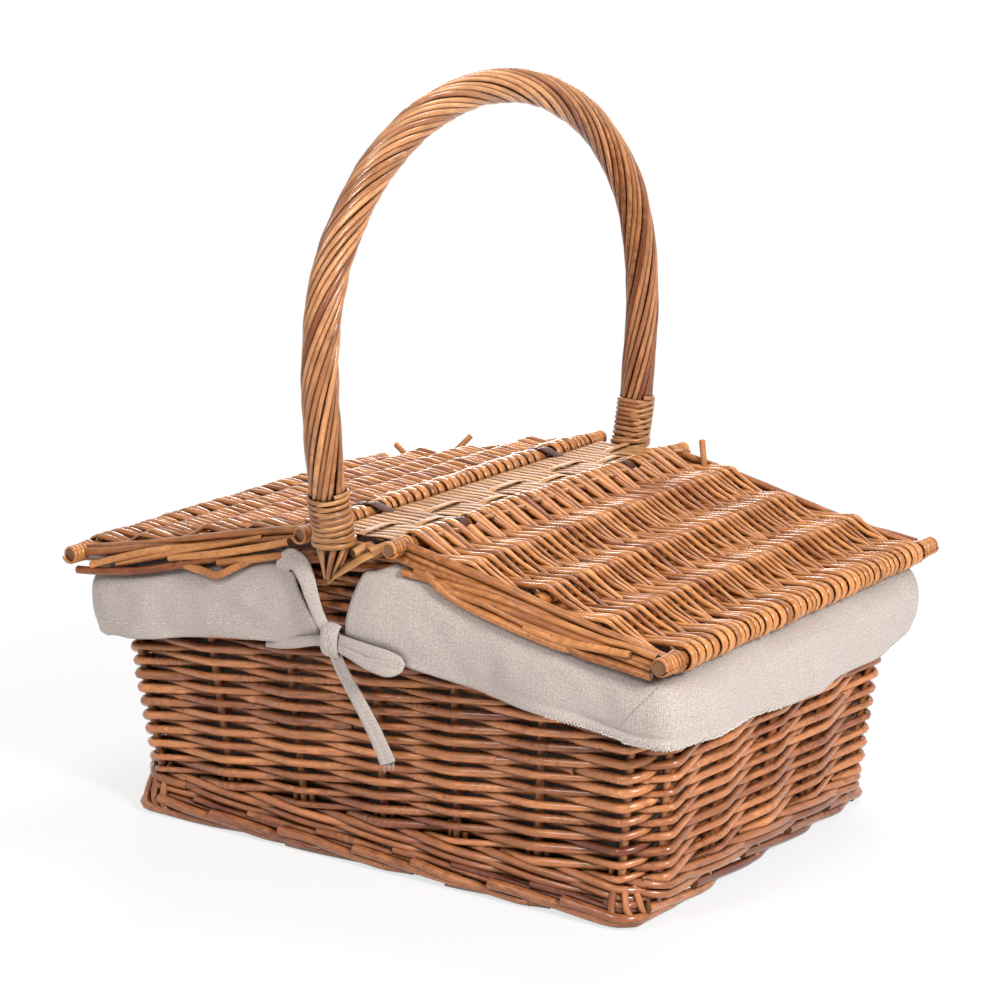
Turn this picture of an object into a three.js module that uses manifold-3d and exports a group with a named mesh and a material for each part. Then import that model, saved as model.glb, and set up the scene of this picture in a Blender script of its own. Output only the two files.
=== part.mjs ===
// A willow picnic basket with two lids, a twisted handle and a tied cloth liner.
// Millimetres, +Z up. X runs along the length, -Y is the front, and the origin lies
// on the ground under the middle of the basket.
import * as THREE from 'three';
import { mergeVertices } from 'three/addons/utils/BufferGeometryUtils.js';
import Module from 'manifold-3d';

const wasm = await Module();
wasm.setup();

// Fits
const CLEARANCE = 0.3;
const CLOTH_CLEARANCE = 0.4;

// Walls: the stakes stand on this outline and lean outwards
const FOOT_HALF_LENGTH = 190;
const FOOT_HALF_WIDTH = 132;
const LEAN_LENGTH_DEG = 7;
const LEAN_WIDTH_DEG = 4.65;
const WALL_CORNER_RADIUS = 14;
const WALL_BOTTOM = 16;
const COURSE_PITCH = 9.5;
const WEAVER_SWING = 4;
const WEAVER_GROOVE = 1.3;
const WALL_SKIN = 0.9;

// Stakes
const STAKE_RADIUS = 3;
const LONG_SIDE_STAKES = 5;
const END_STAKES = 3;
const MIDDLE_STAKE_SHIFT = 4;

// Foot border and base
const FOOT_BORDER_RADIUS = 9;
const FOOT_BORDER_HALF_LENGTH = 186;
const FOOT_BORDER_HALF_WIDTH = 141;
const FOOT_CORNER_RADIUS = 12;
const FOOT_FLAT_WIDTH = 10;
const FOOT_PLAIT_PITCH = 62;
const FOOT_PLAIT_RODS = 3;
const FOOT_PLAIT_STEPS = 3;
const FOOT_PLAIT_DEPTH = 1.3;
const FOOT_ROUND_DEG = 234;
const BASE_THICKNESS = 9;

// Rim border
const RIM_WIDTH = 16;
const RIM_HEIGHT = 12;

// Lids
const LID_PITCH_DEG = 12;
const HINGE_HALF_SPAN = 33;
const HINGE_HEIGHT = 213;
const LID_OVERHANG = 13.9;
const LID_HALF_WIDTH = 154;
const LID_BAYS = 4;
const LID_GROUPS = 36;
const LID_ROD_THICKNESS = 2.9;
const LID_HOLLOW = 2.1;
const LID_STICK_RADIUS = 4.6;
const LID_STICK_OVERHANG = 13;
const LID_SIDE_ROD_RADIUS = 2.9;
const LID_SIDE_ROD_GROOVE = 1.2;
const LID_SIDE_RODS = 2;
const LID_SIDE_ROD_RISE = 9;
const HINGE_STICK_RADIUS = 4.6;
const OUTER_STICK_RADIUS = 5.6;
const STICK_END_OVERHANG = 16;
const WRAP_THICKNESS = 2;
const WEAVER_WALL = 0.6;

// Bridge between the lids
const BRIDGE_STICK_SPAN = 21;
const BRIDGE_STICK_RADIUS = 4;
const BRIDGE_HALF_LENGTH = 151;
const BRIDGE_STICK_OVERHANG = 3;
const BRIDGE_THICKNESS = 10;
const BRIDGE_SKEIN_PAIRS = 16;
const BRIDGE_SKEIN_SWING = 0.8;
const BRIDGE_EDGE = 0.5;

// Hinge loops
const LOOP_SPACING = 95;
const LOOP_WIDTH = 10;
const LOOP_THICKNESS = 1.8;

// Handle
const HANDLE_X = -8;
const HANDLE_RADIUS = 11.3;
const HANDLE_RODS = 8;
const HANDLE_ROD_DEPTH = 1;
const HANDLE_TWIST_PITCH = 265;
const HANDLE_STEPS = 46;
const HANDLE_HALF_SPAN = 178.5;
const HANDLE_SPRING_HEIGHT = 325;
const HANDLE_TOP = 471;
const BINDING_FOOT_SPAN = 166;
const BINDING_RISE = 12;
const BINDING_HEAD_SPAN = 173;
const BINDING_LENGTH = 29;
const SPIKE_RADIUS = 4;
const SPIKE_BOTTOM = 90;
const SPIKE_TOP = 174;

// Handle bindings
const BINDING_TURNS = 9;
const BINDING_RADIUS = 1;
const BINDING_STEPS = 12;
const BINDING_SIDES = 5;

// Liner
const CLOTH_THICKNESS = 1.4;
const CUFF_SIDE_STEPS = 7;
const CUFF_CORNER_STEPS = 4;
const CUFF_END_STEPS = 8;
const CUFF_LIP = 3;
const CUFF_TURN = 2;
const CUFF_BULGE = 12;
const CUFF_SHOULDER_BULGE = 7.2;
const CUFF_HEM_BULGE = 10.8;
const CUFF_SHOULDER_DEPTH = 0.3;
const CUFF_BELLY_DEPTH = 0.65;
const CUFF_HEM_FLARE = 1.5;
const CUFF_FOLD_LENGTH = 96;
const CUFF_FOLD_DEPTH = 2;
const CUFF_GAP = 20;
const CUFF_PULL_RUN = 60;
const HEM_CORNER_HEIGHT = 121;
const HEM_HANDLE_HEIGHT = 153;
const HEM_END_HEIGHT = 114;
const HEM_RISE_POWER = 1.15;

// Ties
const KNOT_HEIGHT = 152;
const KNOT_SEAT = 3.9;
const KNOT_HALF_WIDTH = 7.5;
const KNOT_HALF_DEPTH = 6;
const KNOT_HALF_HEIGHT = 9.2;
const TIE_LOOP_LENGTH = 58;
const TIE_LOOP_HALF_WIDTH = 7.3;
const TIE_LOOP_HALF_DEPTH = 3.8;
const TIE_LOOP_PINCH = 0.4;
const TIE_LOOP_LEAN = 5;
const TIE_LOOP_STEPS = 5;
const TIE_TAIL_DROP = 76;
const TIE_WIDTH = 11;
const TIE_THICKNESS = 2;

// Colours of the finishes
const WALL_WILLOW = 0x8a4a22;
const LID_WILLOW = 0xb4743a;
const PALE_SKEIN = 0xcda468;
const LINEN = 0xcfc8bd;
const BROWN_STRAP = 0x3a2418;

const willow = (color) => new THREE.MeshStandardMaterial({ color, roughness: 0.45, metalness: 0 });
const cloth = () => new THREE.MeshStandardMaterial({ color: LINEN, roughness: 0.9, metalness: 0 });
const strap = () => new THREE.MeshStandardMaterial({ color: BROWN_STRAP, roughness: 0.6, metalness: 0 });

const radians = THREE.MathUtils.degToRad;
const basket = new THREE.Group();

function place(name, geometry, material, parent = basket) {
  const mesh = new THREE.Mesh(geometry, material);
  mesh.name = name;
  parent.add(mesh);
  return mesh;
}

// Closed bodies from points and faces
function body(points, faces) {
  const geometry = new THREE.BufferGeometry();
  geometry.setFromPoints(points);
  geometry.setIndex(facingOut(points, faces));
  return geometry;
}

function facingOut(points, faces) {
  let volume = 0;
  for (let f = 0; f < faces.length; f += 3) {
    const [a, b, c] = [points[faces[f]], points[faces[f + 1]], points[faces[f + 2]]];
    volume += a.dot(b.clone().cross(c));
  }
  return volume > 0 ? faces : faces.slice().reverse();
}

// A loft through rings of the same number of points, closed flat at each end
function loft(rings) {
  const size = rings[0].length;
  const points = rings.flat();
  const faces = [];
  for (let r = 0; r + 1 < rings.length; r++) {
    for (let k = 0; k < size; k++) {
      const a = r * size + k;
      const b = r * size + (k + 1) % size;
      faces.push(a, b, b + size, a, b + size, a + size);
    }
  }
  const last = (rings.length - 1) * size;
  cap(rings[0]).forEach(([a, b, c]) => faces.push(a, c, b));
  cap(rings[rings.length - 1]).forEach(([a, b, c]) => faces.push(last + a, last + b, last + c));
  return body(points, faces);
}

// Triangles that close a flat ring, turned the way the ring runs
function cap(ring) {
  const normal = new THREE.Vector3();
  ring.forEach((p, k) => normal.add(p.clone().cross(ring[(k + 1) % ring.length])));
  normal.normalize();
  const across = ring[1].clone().sub(ring[0]).projectOnPlane(normal).normalize();
  const up = normal.clone().cross(across);
  const flat = ring.map((p) => new THREE.Vector2(p.dot(across), p.dot(up)));
  return THREE.ShapeUtils.triangulateShape(flat, []);
}

// A sheet between two grids of points, outer[i][k] and inner[i][k]
function sheet(outer, inner) {
  const columns = outer.length;
  const rows = outer[0].length;
  const points = [...outer.flat(), ...inner.flat()];
  const far = columns * rows;
  const at = (i, k) => i * rows + k;
  const faces = [];
  const quad = (a, b, c, d) => faces.push(a, b, c, a, c, d);
  for (let i = 0; i + 1 < columns; i++) {
    for (let k = 0; k + 1 < rows; k++) {
      quad(at(i, k), at(i + 1, k), at(i + 1, k + 1), at(i, k + 1));
      quad(far + at(i, k), far + at(i, k + 1), far + at(i + 1, k + 1), far + at(i + 1, k));
    }
    quad(at(i + 1, 0), at(i, 0), far + at(i, 0), far + at(i + 1, 0));
    quad(at(i, rows - 1), at(i + 1, rows - 1), far + at(i + 1, rows - 1), far + at(i, rows - 1));
  }
  for (let k = 0; k + 1 < rows; k++) {
    const end = columns - 1;
    quad(at(0, k), at(0, k + 1), far + at(0, k + 1), far + at(0, k));
    quad(at(end, k + 1), at(end, k), far + at(end, k), far + at(end, k + 1));
  }
  return body(points, faces);
}

// A panel whose worked face is a grid and whose back is plain, with straight end columns
function panel(face, back) {
  const columns = face.length;
  const rows = face[0].length;
  const points = [...face.flat(), ...back.flat()];
  const far = columns * rows;
  const at = (i, k) => i * rows + k;
  const faces = [];
  const quad = (a, b, c, d) => faces.push(a, b, c, a, c, d);
  for (let i = 0; i + 1 < columns; i++) {
    for (let k = 0; k + 1 < rows; k++) {
      quad(at(i, k), at(i + 1, k), at(i + 1, k + 1), at(i, k + 1));
    }
    const near = far + 2 * i;
    quad(near, near + 1, near + 3, near + 2);
    quad(at(i + 1, 0), at(i, 0), near, near + 2);
    quad(at(i, rows - 1), at(i + 1, rows - 1), near + 3, near + 1);
  }
  const end = columns - 1;
  for (let k = 0; k + 1 < rows; k++) {
    faces.push(far, at(0, k), at(0, k + 1));
    faces.push(far + 2 * end, at(end, k + 1), at(end, k));
  }
  faces.push(far, at(0, rows - 1), far + 1);
  faces.push(far + 2 * end, far + 2 * end + 1, at(end, rows - 1));
  return body(points, faces);
}

// Joins and cuts
function solid(geometry) {
  const bare = geometry.clone();
  bare.deleteAttribute('normal');
  bare.deleteAttribute('uv');
  const merged = mergeVertices(bare, 1e-4);
  return new wasm.Manifold(new wasm.Mesh({
    numProp: 3,
    vertProperties: new Float32Array(merged.attributes.position.array),
    triVerts: new Uint32Array(merged.index.array),
  }));
}

function surface(manifold) {
  const mesh = manifold.getMesh();
  const geometry = new THREE.BufferGeometry();
  geometry.setAttribute('position', new THREE.BufferAttribute(mesh.vertProperties, 3));
  geometry.setIndex(new THREE.BufferAttribute(mesh.triVerts, 1));
  return geometry;
}

function cut(geometry, tools) {
  return surface(tools.reduce((left, tool) => left.subtract(solid(tool)), solid(geometry)));
}

function join(geometries) {
  return surface(geometries.slice(1).reduce((sum, next) => sum.add(solid(next)), solid(geometries[0])));
}

// A straight rod between two points
function rod(from, to, radius, sides = 8) {
  const run = to.clone().sub(from);
  const geometry = new THREE.CylinderGeometry(radius, radius, run.length(), sides);
  const turn = new THREE.Quaternion().setFromUnitVectors(new THREE.Vector3(0, 1, 0), run.clone().normalize());
  geometry.applyQuaternion(turn);
  const centre = from.clone().add(to).multiplyScalar(0.5);
  return geometry.translate(centre.x, centre.y, centre.z);
}

function block(width, depth, height, x, y, z) {
  return new THREE.BoxGeometry(width, depth, height).translate(x, y, z);
}

const point = (x, y, z) => new THREE.Vector3(x, y, z);

// The wall's outline: half sizes of the stake line at a height
const leanLength = Math.tan(radians(LEAN_LENGTH_DEG));
const leanWidth = Math.tan(radians(LEAN_WIDTH_DEG));
const halfLength = (z) => FOOT_HALF_LENGTH + leanLength * (z - WALL_BOTTOM);
const halfWidth = (z) => FOOT_HALF_WIDTH + leanWidth * (z - WALL_BOTTOM);

const stakeBore = STAKE_RADIUS + CLEARANCE;
const wallInner = -(stakeBore + WALL_SKIN);
const wallOuterLow = SPIKE_RADIUS + CLEARANCE + WALL_SKIN;
const wallOuterHigh = wallOuterLow + WEAVER_SWING;
const wallMiddle = (wallInner + wallOuterHigh) / 2;

// The line under the lids that the rim follows
const lidSlope = Math.tan(radians(LID_PITCH_DEG));
const outerWrapRadius = OUTER_STICK_RADIUS + WRAP_THICKNESS;
const lidDrop = outerWrapRadius / Math.cos(radians(LID_PITCH_DEG));
const cuffDepth = CLOTH_THICKNESS + 2 * CLOTH_CLEARANCE;

function rimTop(x) {
  const out = Math.max(Math.abs(x) - HINGE_HALF_SPAN, 0);
  return HINGE_HEIGHT - lidSlope * out - lidDrop - cuffDepth;
}

const wallTop = (x) => rimTop(x) - RIM_HEIGHT - CLEARANCE;
const rimLevel = rimTop(halfLength(rimTop(FOOT_HALF_LENGTH)) + wallMiddle);
const endWallTop = rimLevel - RIM_HEIGHT - CLEARANCE;
const rimMiddle = (x) => rimTop(x) - RIM_HEIGHT / 2;
const endMiddle = rimLevel - RIM_HEIGHT / 2;
const bindingFoot = rimTop(0) + BINDING_RISE;
const bindingHead = bindingFoot + BINDING_LENGTH;

// The four sides, each turned from the front
const SIDES = [
  { name: 'front', turn: 0, along: halfLength, out: halfWidth, stakes: LONG_SIDE_STAKES, long: true },
  { name: 'right', turn: 90, along: halfWidth, out: halfLength, stakes: END_STAKES, long: false },
  { name: 'back', turn: 180, along: halfLength, out: halfWidth, stakes: LONG_SIDE_STAKES, long: true },
  { name: 'left', turn: 270, along: halfWidth, out: halfLength, stakes: END_STAKES, long: false },
];
const CORNER_ARC = Math.PI / 4;
const mitre = (radius) => CORNER_ARC - CLEARANCE / 2 / radius;

// A point of a side as it stands at the front: place 0 is its middle, -1 and 1 are the
// corner stakes, and what lies beyond turns round the corner, up to 2 at the mitre
function sidePoint(side, place, offset, z) {
  const straight = side.along(z) - WALL_CORNER_RADIUS;
  if (Math.abs(place) <= 1) {
    return point(place * straight, -side.out(z) - offset, z);
  }
  const radius = Math.max(WALL_CORNER_RADIUS + offset, CLEARANCE);
  const angle = (Math.abs(place) - 1) * mitre(radius);
  const x = straight + radius * Math.sin(angle);
  const y = -side.out(z) + WALL_CORNER_RADIUS - radius * Math.cos(angle);
  return point(Math.sign(place) * x, y, z);
}

function turned(geometry, side) {
  return geometry.rotateZ(radians(side.turn));
}

// Where the stakes stand on a side; the middle one stands beside the handle's spike
function stakePlaces(side) {
  const bays = side.stakes + 1;
  const places = Array.from({ length: bays + 1 }, (_, i) => 2 * i / bays - 1);
  if (side.long) {
    const shift = side.turn === 0 ? MIDDLE_STAKE_SHIFT : -MIDDLE_STAKE_SHIFT;
    places[bays / 2] += shift / (side.along(WALL_BOTTOM) - WALL_CORNER_RADIUS);
  }
  return places;
}

// Walls of woven courses, each passing before one stake and behind the next
function wallWeave(side) {
  const stakes = stakePlaces(side);
  const columns = [
    { place: -2, side: 0 },
    { place: -1.5, side: 0 },
    ...stakes.map((place, i) => ({ place, side: i % 2 ? 1 : -1 })),
    { place: 1.5, side: 0 },
    { place: 2, side: 0 },
  ];
  const top = side.long ? wallTop(0) : endWallTop;
  const courses = Math.ceil((top - WALL_BOTTOM) / COURSE_PITCH);
  const pitch = side.long ? COURSE_PITCH : (top - WALL_BOTTOM) / courses;
  const height = (k) => WALL_BOTTOM + k * pitch / 2;
  const relief = (column, k) => {
    const mean = wallOuterLow + WEAVER_SWING / 2;
    if (Math.abs(column.place) === 2 || k === 0 || k === 2 * courses) {
      return mean;
    }
    const course = (k - 1) / 2;
    const phase = course % 2 ? -column.side : column.side;
    return k % 2 ? mean + phase * WEAVER_SWING / 2 : mean - WEAVER_GROOVE;
  };
  const rows = Array.from({ length: 2 * courses + 1 }, (_, k) => k);
  const lay = (place, offset, k) => {
    const p = sidePoint(side, place, offset, height(k));
    return !side.long && k === 2 * courses ? p.setZ(wallTop(p.y)) : p;
  };
  const face = columns.map((c) => rows.map((k) => lay(c.place, relief(c, k), k)));
  const back = columns.map((c) => [0, 2 * courses].map((k) => lay(c.place, wallInner, k)));
  return turned(panel(face, back), side);
}

// The top of a long wall is cut to the gable under the rim
function gableCut(side) {
  const reach = 2 * halfLength(HINGE_HEIGHT);
  const roof = new THREE.Shape();
  roof.moveTo(-reach, wallTop(reach));
  roof.lineTo(-HINGE_HALF_SPAN, wallTop(0));
  roof.lineTo(HINGE_HALF_SPAN, wallTop(0));
  roof.lineTo(reach, wallTop(reach));
  roof.lineTo(reach, HANDLE_TOP);
  roof.lineTo(-reach, HANDLE_TOP);
  const depth = 2 * halfWidth(HINGE_HEIGHT);
  const geometry = new THREE.ExtrudeGeometry(roof, { depth, bevelEnabled: false });
  return turned(geometry.rotateX(Math.PI / 2), side);
}

function stakeLine(side, place, radius) {
  const low = sidePoint(side, place, 0, WALL_BOTTOM);
  const guess = sidePoint(side, place, 0, endWallTop);
  const topAt = side.long ? wallTop(guess.x) : endWallTop;
  const high = sidePoint(side, place, 0, topAt);
  const run = high.clone().sub(low).normalize();
  const spare = radius > STAKE_RADIUS ? 2 * radius : -CLEARANCE - lidSlope * radius;
  low.addScaledVector(run, -spare);
  high.addScaledVector(run, spare);
  return turned(rod(low, high, radius), side);
}

// The handle's line: a spike in the wall, a foot that leans out, and the bow
function handleLine() {
  const legs = (sign) => [
    point(HANDLE_X, sign * halfWidth(SPIKE_BOTTOM), SPIKE_BOTTOM),
    point(HANDLE_X, sign * halfWidth((SPIKE_BOTTOM + SPIKE_TOP) / 2), (SPIKE_BOTTOM + SPIKE_TOP) / 2),
    point(HANDLE_X, sign * halfWidth(SPIKE_TOP), SPIKE_TOP),
    point(HANDLE_X, sign * BINDING_FOOT_SPAN, bindingFoot),
    point(HANDLE_X, sign * BINDING_HEAD_SPAN, bindingHead),
  ];
  const bow = [];
  const arcs = 8;
  for (let i = 0; i <= arcs; i++) {
    const angle = Math.PI * i / arcs;
    const y = -HANDLE_HALF_SPAN * Math.cos(angle);
    const z = HANDLE_SPRING_HEIGHT + (HANDLE_TOP - HANDLE_SPRING_HEIGHT) * Math.sin(angle);
    bow.push(point(HANDLE_X, y, z));
  }
  return new THREE.CatmullRomCurve3([...legs(-1), ...bow, ...legs(1).reverse()], false, 'centripetal');
}

const handleCurve = handleLine();
const handleRun = handleCurve.getLength();

function runAtHeight(height) {
  let [low, high] = [0, 0.5];
  for (let i = 0; i < 40; i++) {
    const half = (low + high) / 2;
    if (handleCurve.getPointAt(half).z < height) {
      low = half;
    } else {
      high = half;
    }
  }
  return low;
}

const spikeEnd = runAtHeight(SPIKE_TOP);
const footEnd = runAtHeight(bindingFoot);

// The handle swells from its spike to its full bundle of rods at the binding
function handleSwell(u) {
  const fromEnd = Math.min(u, 1 - u);
  return THREE.MathUtils.smoothstep(fromEnd, spikeEnd, footEnd);
}

function handleRing(u, extra) {
  const centre = handleCurve.getPointAt(u);
  const tangent = handleCurve.getTangentAt(u);
  const across = point(1, 0, 0);
  const outward = across.clone().cross(tangent).normalize();
  const swell = handleSwell(u);
  const radius = THREE.MathUtils.lerp(SPIKE_RADIUS, HANDLE_RADIUS, swell);
  const twist = 2 * Math.PI * u * handleRun / HANDLE_TWIST_PITCH;
  return Array.from({ length: 2 * HANDLE_RODS }, (_, k) => {
    const angle = Math.PI * k / HANDLE_RODS - twist;
    const reach = radius + swell * (k % 2 ? -HANDLE_ROD_DEPTH : HANDLE_ROD_DEPTH) + extra;
    return centre.clone()
      .addScaledVector(across, reach * Math.cos(angle))
      .addScaledVector(outward, reach * Math.sin(angle));
  });
}

function handleBow(extra = 0) {
  const steps = Array.from({ length: HANDLE_STEPS + 1 }, (_, i) => i / HANDLE_STEPS);
  return loft(steps.map((u) => handleRing(u, extra)));
}

const handleSpace = handleBow(CLEARANCE);

for (const side of SIDES) {
  const bores = stakePlaces(side).map((place) => stakeLine(side, place, stakeBore));
  const cuts = side.long ? [gableCut(side), ...bores, handleSpace] : bores;
  place(`wall_weave_${side.name}`, cut(wallWeave(side), cuts), willow(WALL_WILLOW));
  stakePlaces(side).forEach((at, i) => {
    place(`stake_${side.name}_${i + 1}`, stakeLine(side, at, STAKE_RADIUS), willow(WALL_WILLOW));
  });
}

// The foot border: plaited rods in a bundle that is flat below
function footBorder(side) {
  const along = side.long ? FOOT_BORDER_HALF_LENGTH : FOOT_BORDER_HALF_WIDTH;
  const out = side.long ? FOOT_BORDER_HALF_WIDTH : FOOT_BORDER_HALF_LENGTH;
  const straight = along - FOOT_CORNER_RADIUS;
  const cornerRun = FOOT_CORNER_RADIUS * mitre(FOOT_CORNER_RADIUS);
  const steps = Math.round(2 * straight / (FOOT_PLAIT_PITCH / FOOT_PLAIT_STEPS));
  const stations = Array.from({ length: steps + 1 }, (_, i) => straight * (2 * i / steps - 1));
  for (const share of [0.5, 1]) {
    stations.push(straight + share * cornerRun);
    stations.unshift(-straight - share * cornerRun);
  }
  const upperPoints = 7;
  const rings = stations.map((travel) => {
    const beyond = Math.max(Math.abs(travel) - straight, 0) / FOOT_CORNER_RADIUS;
    const heading = Math.sign(travel) * beyond;
    const centre = point(
      THREE.MathUtils.clamp(travel, -straight, straight) + FOOT_CORNER_RADIUS * Math.sin(heading),
      -out + FOOT_CORNER_RADIUS * (1 - Math.cos(heading)), 0);
    const outward = point(Math.sin(heading), -Math.cos(heading), 0);
    const ring = [centre.clone().addScaledVector(outward, FOOT_FLAT_WIDTH / 2)];
    for (let k = 0; k < upperPoints; k++) {
      const angle = Math.PI / 2 + radians(FOOT_ROUND_DEG) * (k / (upperPoints - 1) - 0.5);
      const plait = Math.cos(FOOT_PLAIT_RODS * angle - 2 * Math.PI * travel / FOOT_PLAIT_PITCH);
      const swell = beyond > 0 ? 0 : plait;
      const reach = FOOT_BORDER_RADIUS - FOOT_PLAIT_DEPTH * (1 - swell);
      const rise = Math.min(footBorderMiddle + reach * Math.sin(angle), WALL_BOTTOM - CLEARANCE);
      ring.push(centre.clone().addScaledVector(outward, reach * Math.cos(angle)).setZ(rise));
    }
    ring.push(centre.clone().addScaledVector(outward, -FOOT_FLAT_WIDTH / 2));
    return ring;
  });
  return turned(loft(rings), side);
}

const footBorderMiddle = WALL_BOTTOM - CLEARANCE - FOOT_BORDER_RADIUS;
SIDES.forEach((side) => place(`foot_border_${side.name}`, footBorder(side), willow(WALL_WILLOW)));

// The base panel lies inside the foot border
function baseWeave() {
  const inset = FOOT_BORDER_RADIUS + CLEARANCE;
  const across = FOOT_BORDER_HALF_LENGTH - inset;
  const deep = FOOT_BORDER_HALF_WIDTH - inset;
  const corner = FOOT_CORNER_RADIUS - FOOT_BORDER_RADIUS;
  const outline = new THREE.Shape();
  outline.moveTo(-across + corner, -deep);
  outline.lineTo(across - corner, -deep);
  outline.absarc(across - corner, -deep + corner, corner, -Math.PI / 2, 0, false);
  outline.absarc(across - corner, deep - corner, corner, 0, Math.PI / 2, false);
  outline.absarc(-across + corner, deep - corner, corner, Math.PI / 2, Math.PI, false);
  outline.absarc(-across + corner, -deep + corner, corner, Math.PI, 1.5 * Math.PI, false);
  const options = { depth: BASE_THICKNESS, bevelEnabled: false, curveSegments: 4 };
  const geometry = new THREE.ExtrudeGeometry(outline, options);
  return geometry.translate(0, 0, WALL_BOTTOM - CLEARANCE - BASE_THICKNESS);
}

place('base_weave', baseWeave(), willow(WALL_WILLOW));

// The rim border follows the gable on the long sides
function rimBorder(side) {
  const places = [-2, -1.5, -1];
  if (side.long) {
    const peak = HINGE_HALF_SPAN / (side.along(rimTop(0)) - WALL_CORNER_RADIUS);
    places.push(-peak, peak);
  }
  places.push(1, 1.5, 2);
  const points = 8;
  const rings = places.map((at) => {
    const flat = sidePoint(side, at, wallMiddle, rimLevel);
    const level = rimMiddle(side.long ? flat.x : flat.y);
    return Array.from({ length: points }, (_, k) => {
      const angle = 2 * Math.PI * (k + 0.5) / points;
      const reach = RIM_WIDTH / 2 * Math.cos(angle) / Math.cos(Math.PI / points);
      const rise = RIM_HEIGHT / 2 * Math.sin(angle) / Math.cos(Math.PI / points);
      const p = sidePoint(side, at, wallMiddle + reach, level);
      return p.setZ(rimMiddle(side.long ? p.x : p.y) + rise);
    });
  });
  return turned(loft(rings), side);
}

for (const side of SIDES) {
  const border = rimBorder(side);
  const shape = side.long ? cut(border, [handleSpace]) : border;
  place(`rim_border_${side.name}`, shape, willow(WALL_WILLOW));
}

place('handle_bow', handleBow(), willow(LID_WILLOW));

// One unbroken winding of skein round each foot of the handle
function bindingTurns(first, last) {
  const reach = HANDLE_RADIUS + HANDLE_ROD_DEPTH + CLEARANCE + BINDING_RADIUS;
  const steps = BINDING_TURNS * BINDING_STEPS;
  const centres = Array.from({ length: steps + 1 }, (_, i) => {
    const u = THREE.MathUtils.lerp(first, last, i / steps);
    const angle = 2 * Math.PI * i / BINDING_STEPS;
    const across = point(1, 0, 0);
    const tangent = handleCurve.getTangentAt(u);
    const outward = across.clone().cross(tangent).normalize();
    const radial = across.multiplyScalar(Math.cos(angle)).addScaledVector(outward, Math.sin(angle));
    return { centre: handleCurve.getPointAt(u).addScaledVector(radial, reach), radial, tangent };
  });
  const rings = centres.map(({ centre, radial, tangent }) => {
    return Array.from({ length: BINDING_SIDES }, (_, k) => {
      const angle = 2 * Math.PI * k / BINDING_SIDES;
      return centre.clone()
        .addScaledVector(radial, BINDING_RADIUS * Math.cos(angle))
        .addScaledVector(tangent, BINDING_RADIUS * Math.sin(angle));
    });
  });
  return { rings, centres: centres.map((c) => c.centre) };
}

function leastSelfGap(centres, skip, radius) {
  let least = Infinity;
  centres.forEach((p, i) => {
    for (let j = i + skip; j < centres.length; j++) {
      least = Math.min(least, p.distanceTo(centres[j]));
    }
  });
  return least - 2 * radius;
}

const bindingEnd = runAtHeight(bindingHead);
const BINDINGS = { front: [footEnd, bindingEnd], back: [1 - footEnd, 1 - bindingEnd] };
for (const [name, [first, last]] of Object.entries(BINDINGS)) {
  const winding = bindingTurns(first, last);
  const gap = leastSelfGap(winding.centres, BINDING_STEPS / 2, BINDING_RADIUS);
  console.log(`handle_binding_${name} least gap to itself ${gap.toFixed(2)} mm`);
  place(`handle_binding_${name}`, loft(winding.rings), willow(PALE_SKEIN));
}

// The bridge: skeins woven across two sticks, between the lids
const bridgeBottom = rimTop(0) + cuffDepth;
const bridgeMiddle = bridgeBottom + BRIDGE_THICKNESS / 2;
const bridgeHalfWidth = BRIDGE_STICK_SPAN + BRIDGE_STICK_RADIUS + CLEARANCE + BRIDGE_EDGE;

function bridgeWeave() {
  const columns = [-1, -0.7, -0.35, 0, 0.35, 0.7, 1];
  const top = bridgeBottom + BRIDGE_THICKNESS;
  const lengthAt = (k) => BRIDGE_HALF_LENGTH * (2 * k / BRIDGE_SKEIN_PAIRS - 1);
  const relief = (i, k) => {
    const ends = i === 0 || i === columns.length - 1;
    const over = (i + k) % 2 ? 0 : BRIDGE_SKEIN_SWING;
    return ends ? BRIDGE_SKEIN_SWING / 2 : over;
  };
  const rows = Array.from({ length: BRIDGE_SKEIN_PAIRS + 1 }, (_, k) => k);
  const face = columns.map((c, i) => {
    return rows.map((k) => point(c * bridgeHalfWidth, lengthAt(k), top + relief(i, k)));
  });
  const ends = [0, BRIDGE_SKEIN_PAIRS];
  const back = columns.map((c) => ends.map((k) => point(c * bridgeHalfWidth, lengthAt(k), bridgeBottom)));
  return panel(face, back);
}

function bridgeStick(x, radius, spare) {
  const end = BRIDGE_HALF_LENGTH + BRIDGE_STICK_OVERHANG + spare;
  return rod(point(x, -end, bridgeMiddle), point(x, end, bridgeMiddle), radius);
}

const LOOP_PLACES = [-LOOP_SPACING, LOOP_SPACING];
const loopSlot = LOOP_WIDTH + 2 * CLEARANCE;
const bridgeCuts = [handleSpace];
for (const x of [-BRIDGE_STICK_SPAN, BRIDGE_STICK_SPAN]) {
  bridgeCuts.push(bridgeStick(x, BRIDGE_STICK_RADIUS + CLEARANCE, CLEARANCE));
  for (const y of LOOP_PLACES) {
    const slotWidth = 2 * (bridgeHalfWidth - BRIDGE_STICK_SPAN + LOOP_THICKNESS + CLEARANCE);
    bridgeCuts.push(block(slotWidth, loopSlot, 3 * BRIDGE_THICKNESS, x, y, bridgeMiddle));
  }
  const name = x < 0 ? 'bridge_stick_left' : 'bridge_stick_right';
  place(name, bridgeStick(x, BRIDGE_STICK_RADIUS, 0), willow(PALE_SKEIN));
}
place('bridge_weave', cut(bridgeWeave(), bridgeCuts), willow(PALE_SKEIN));

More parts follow.
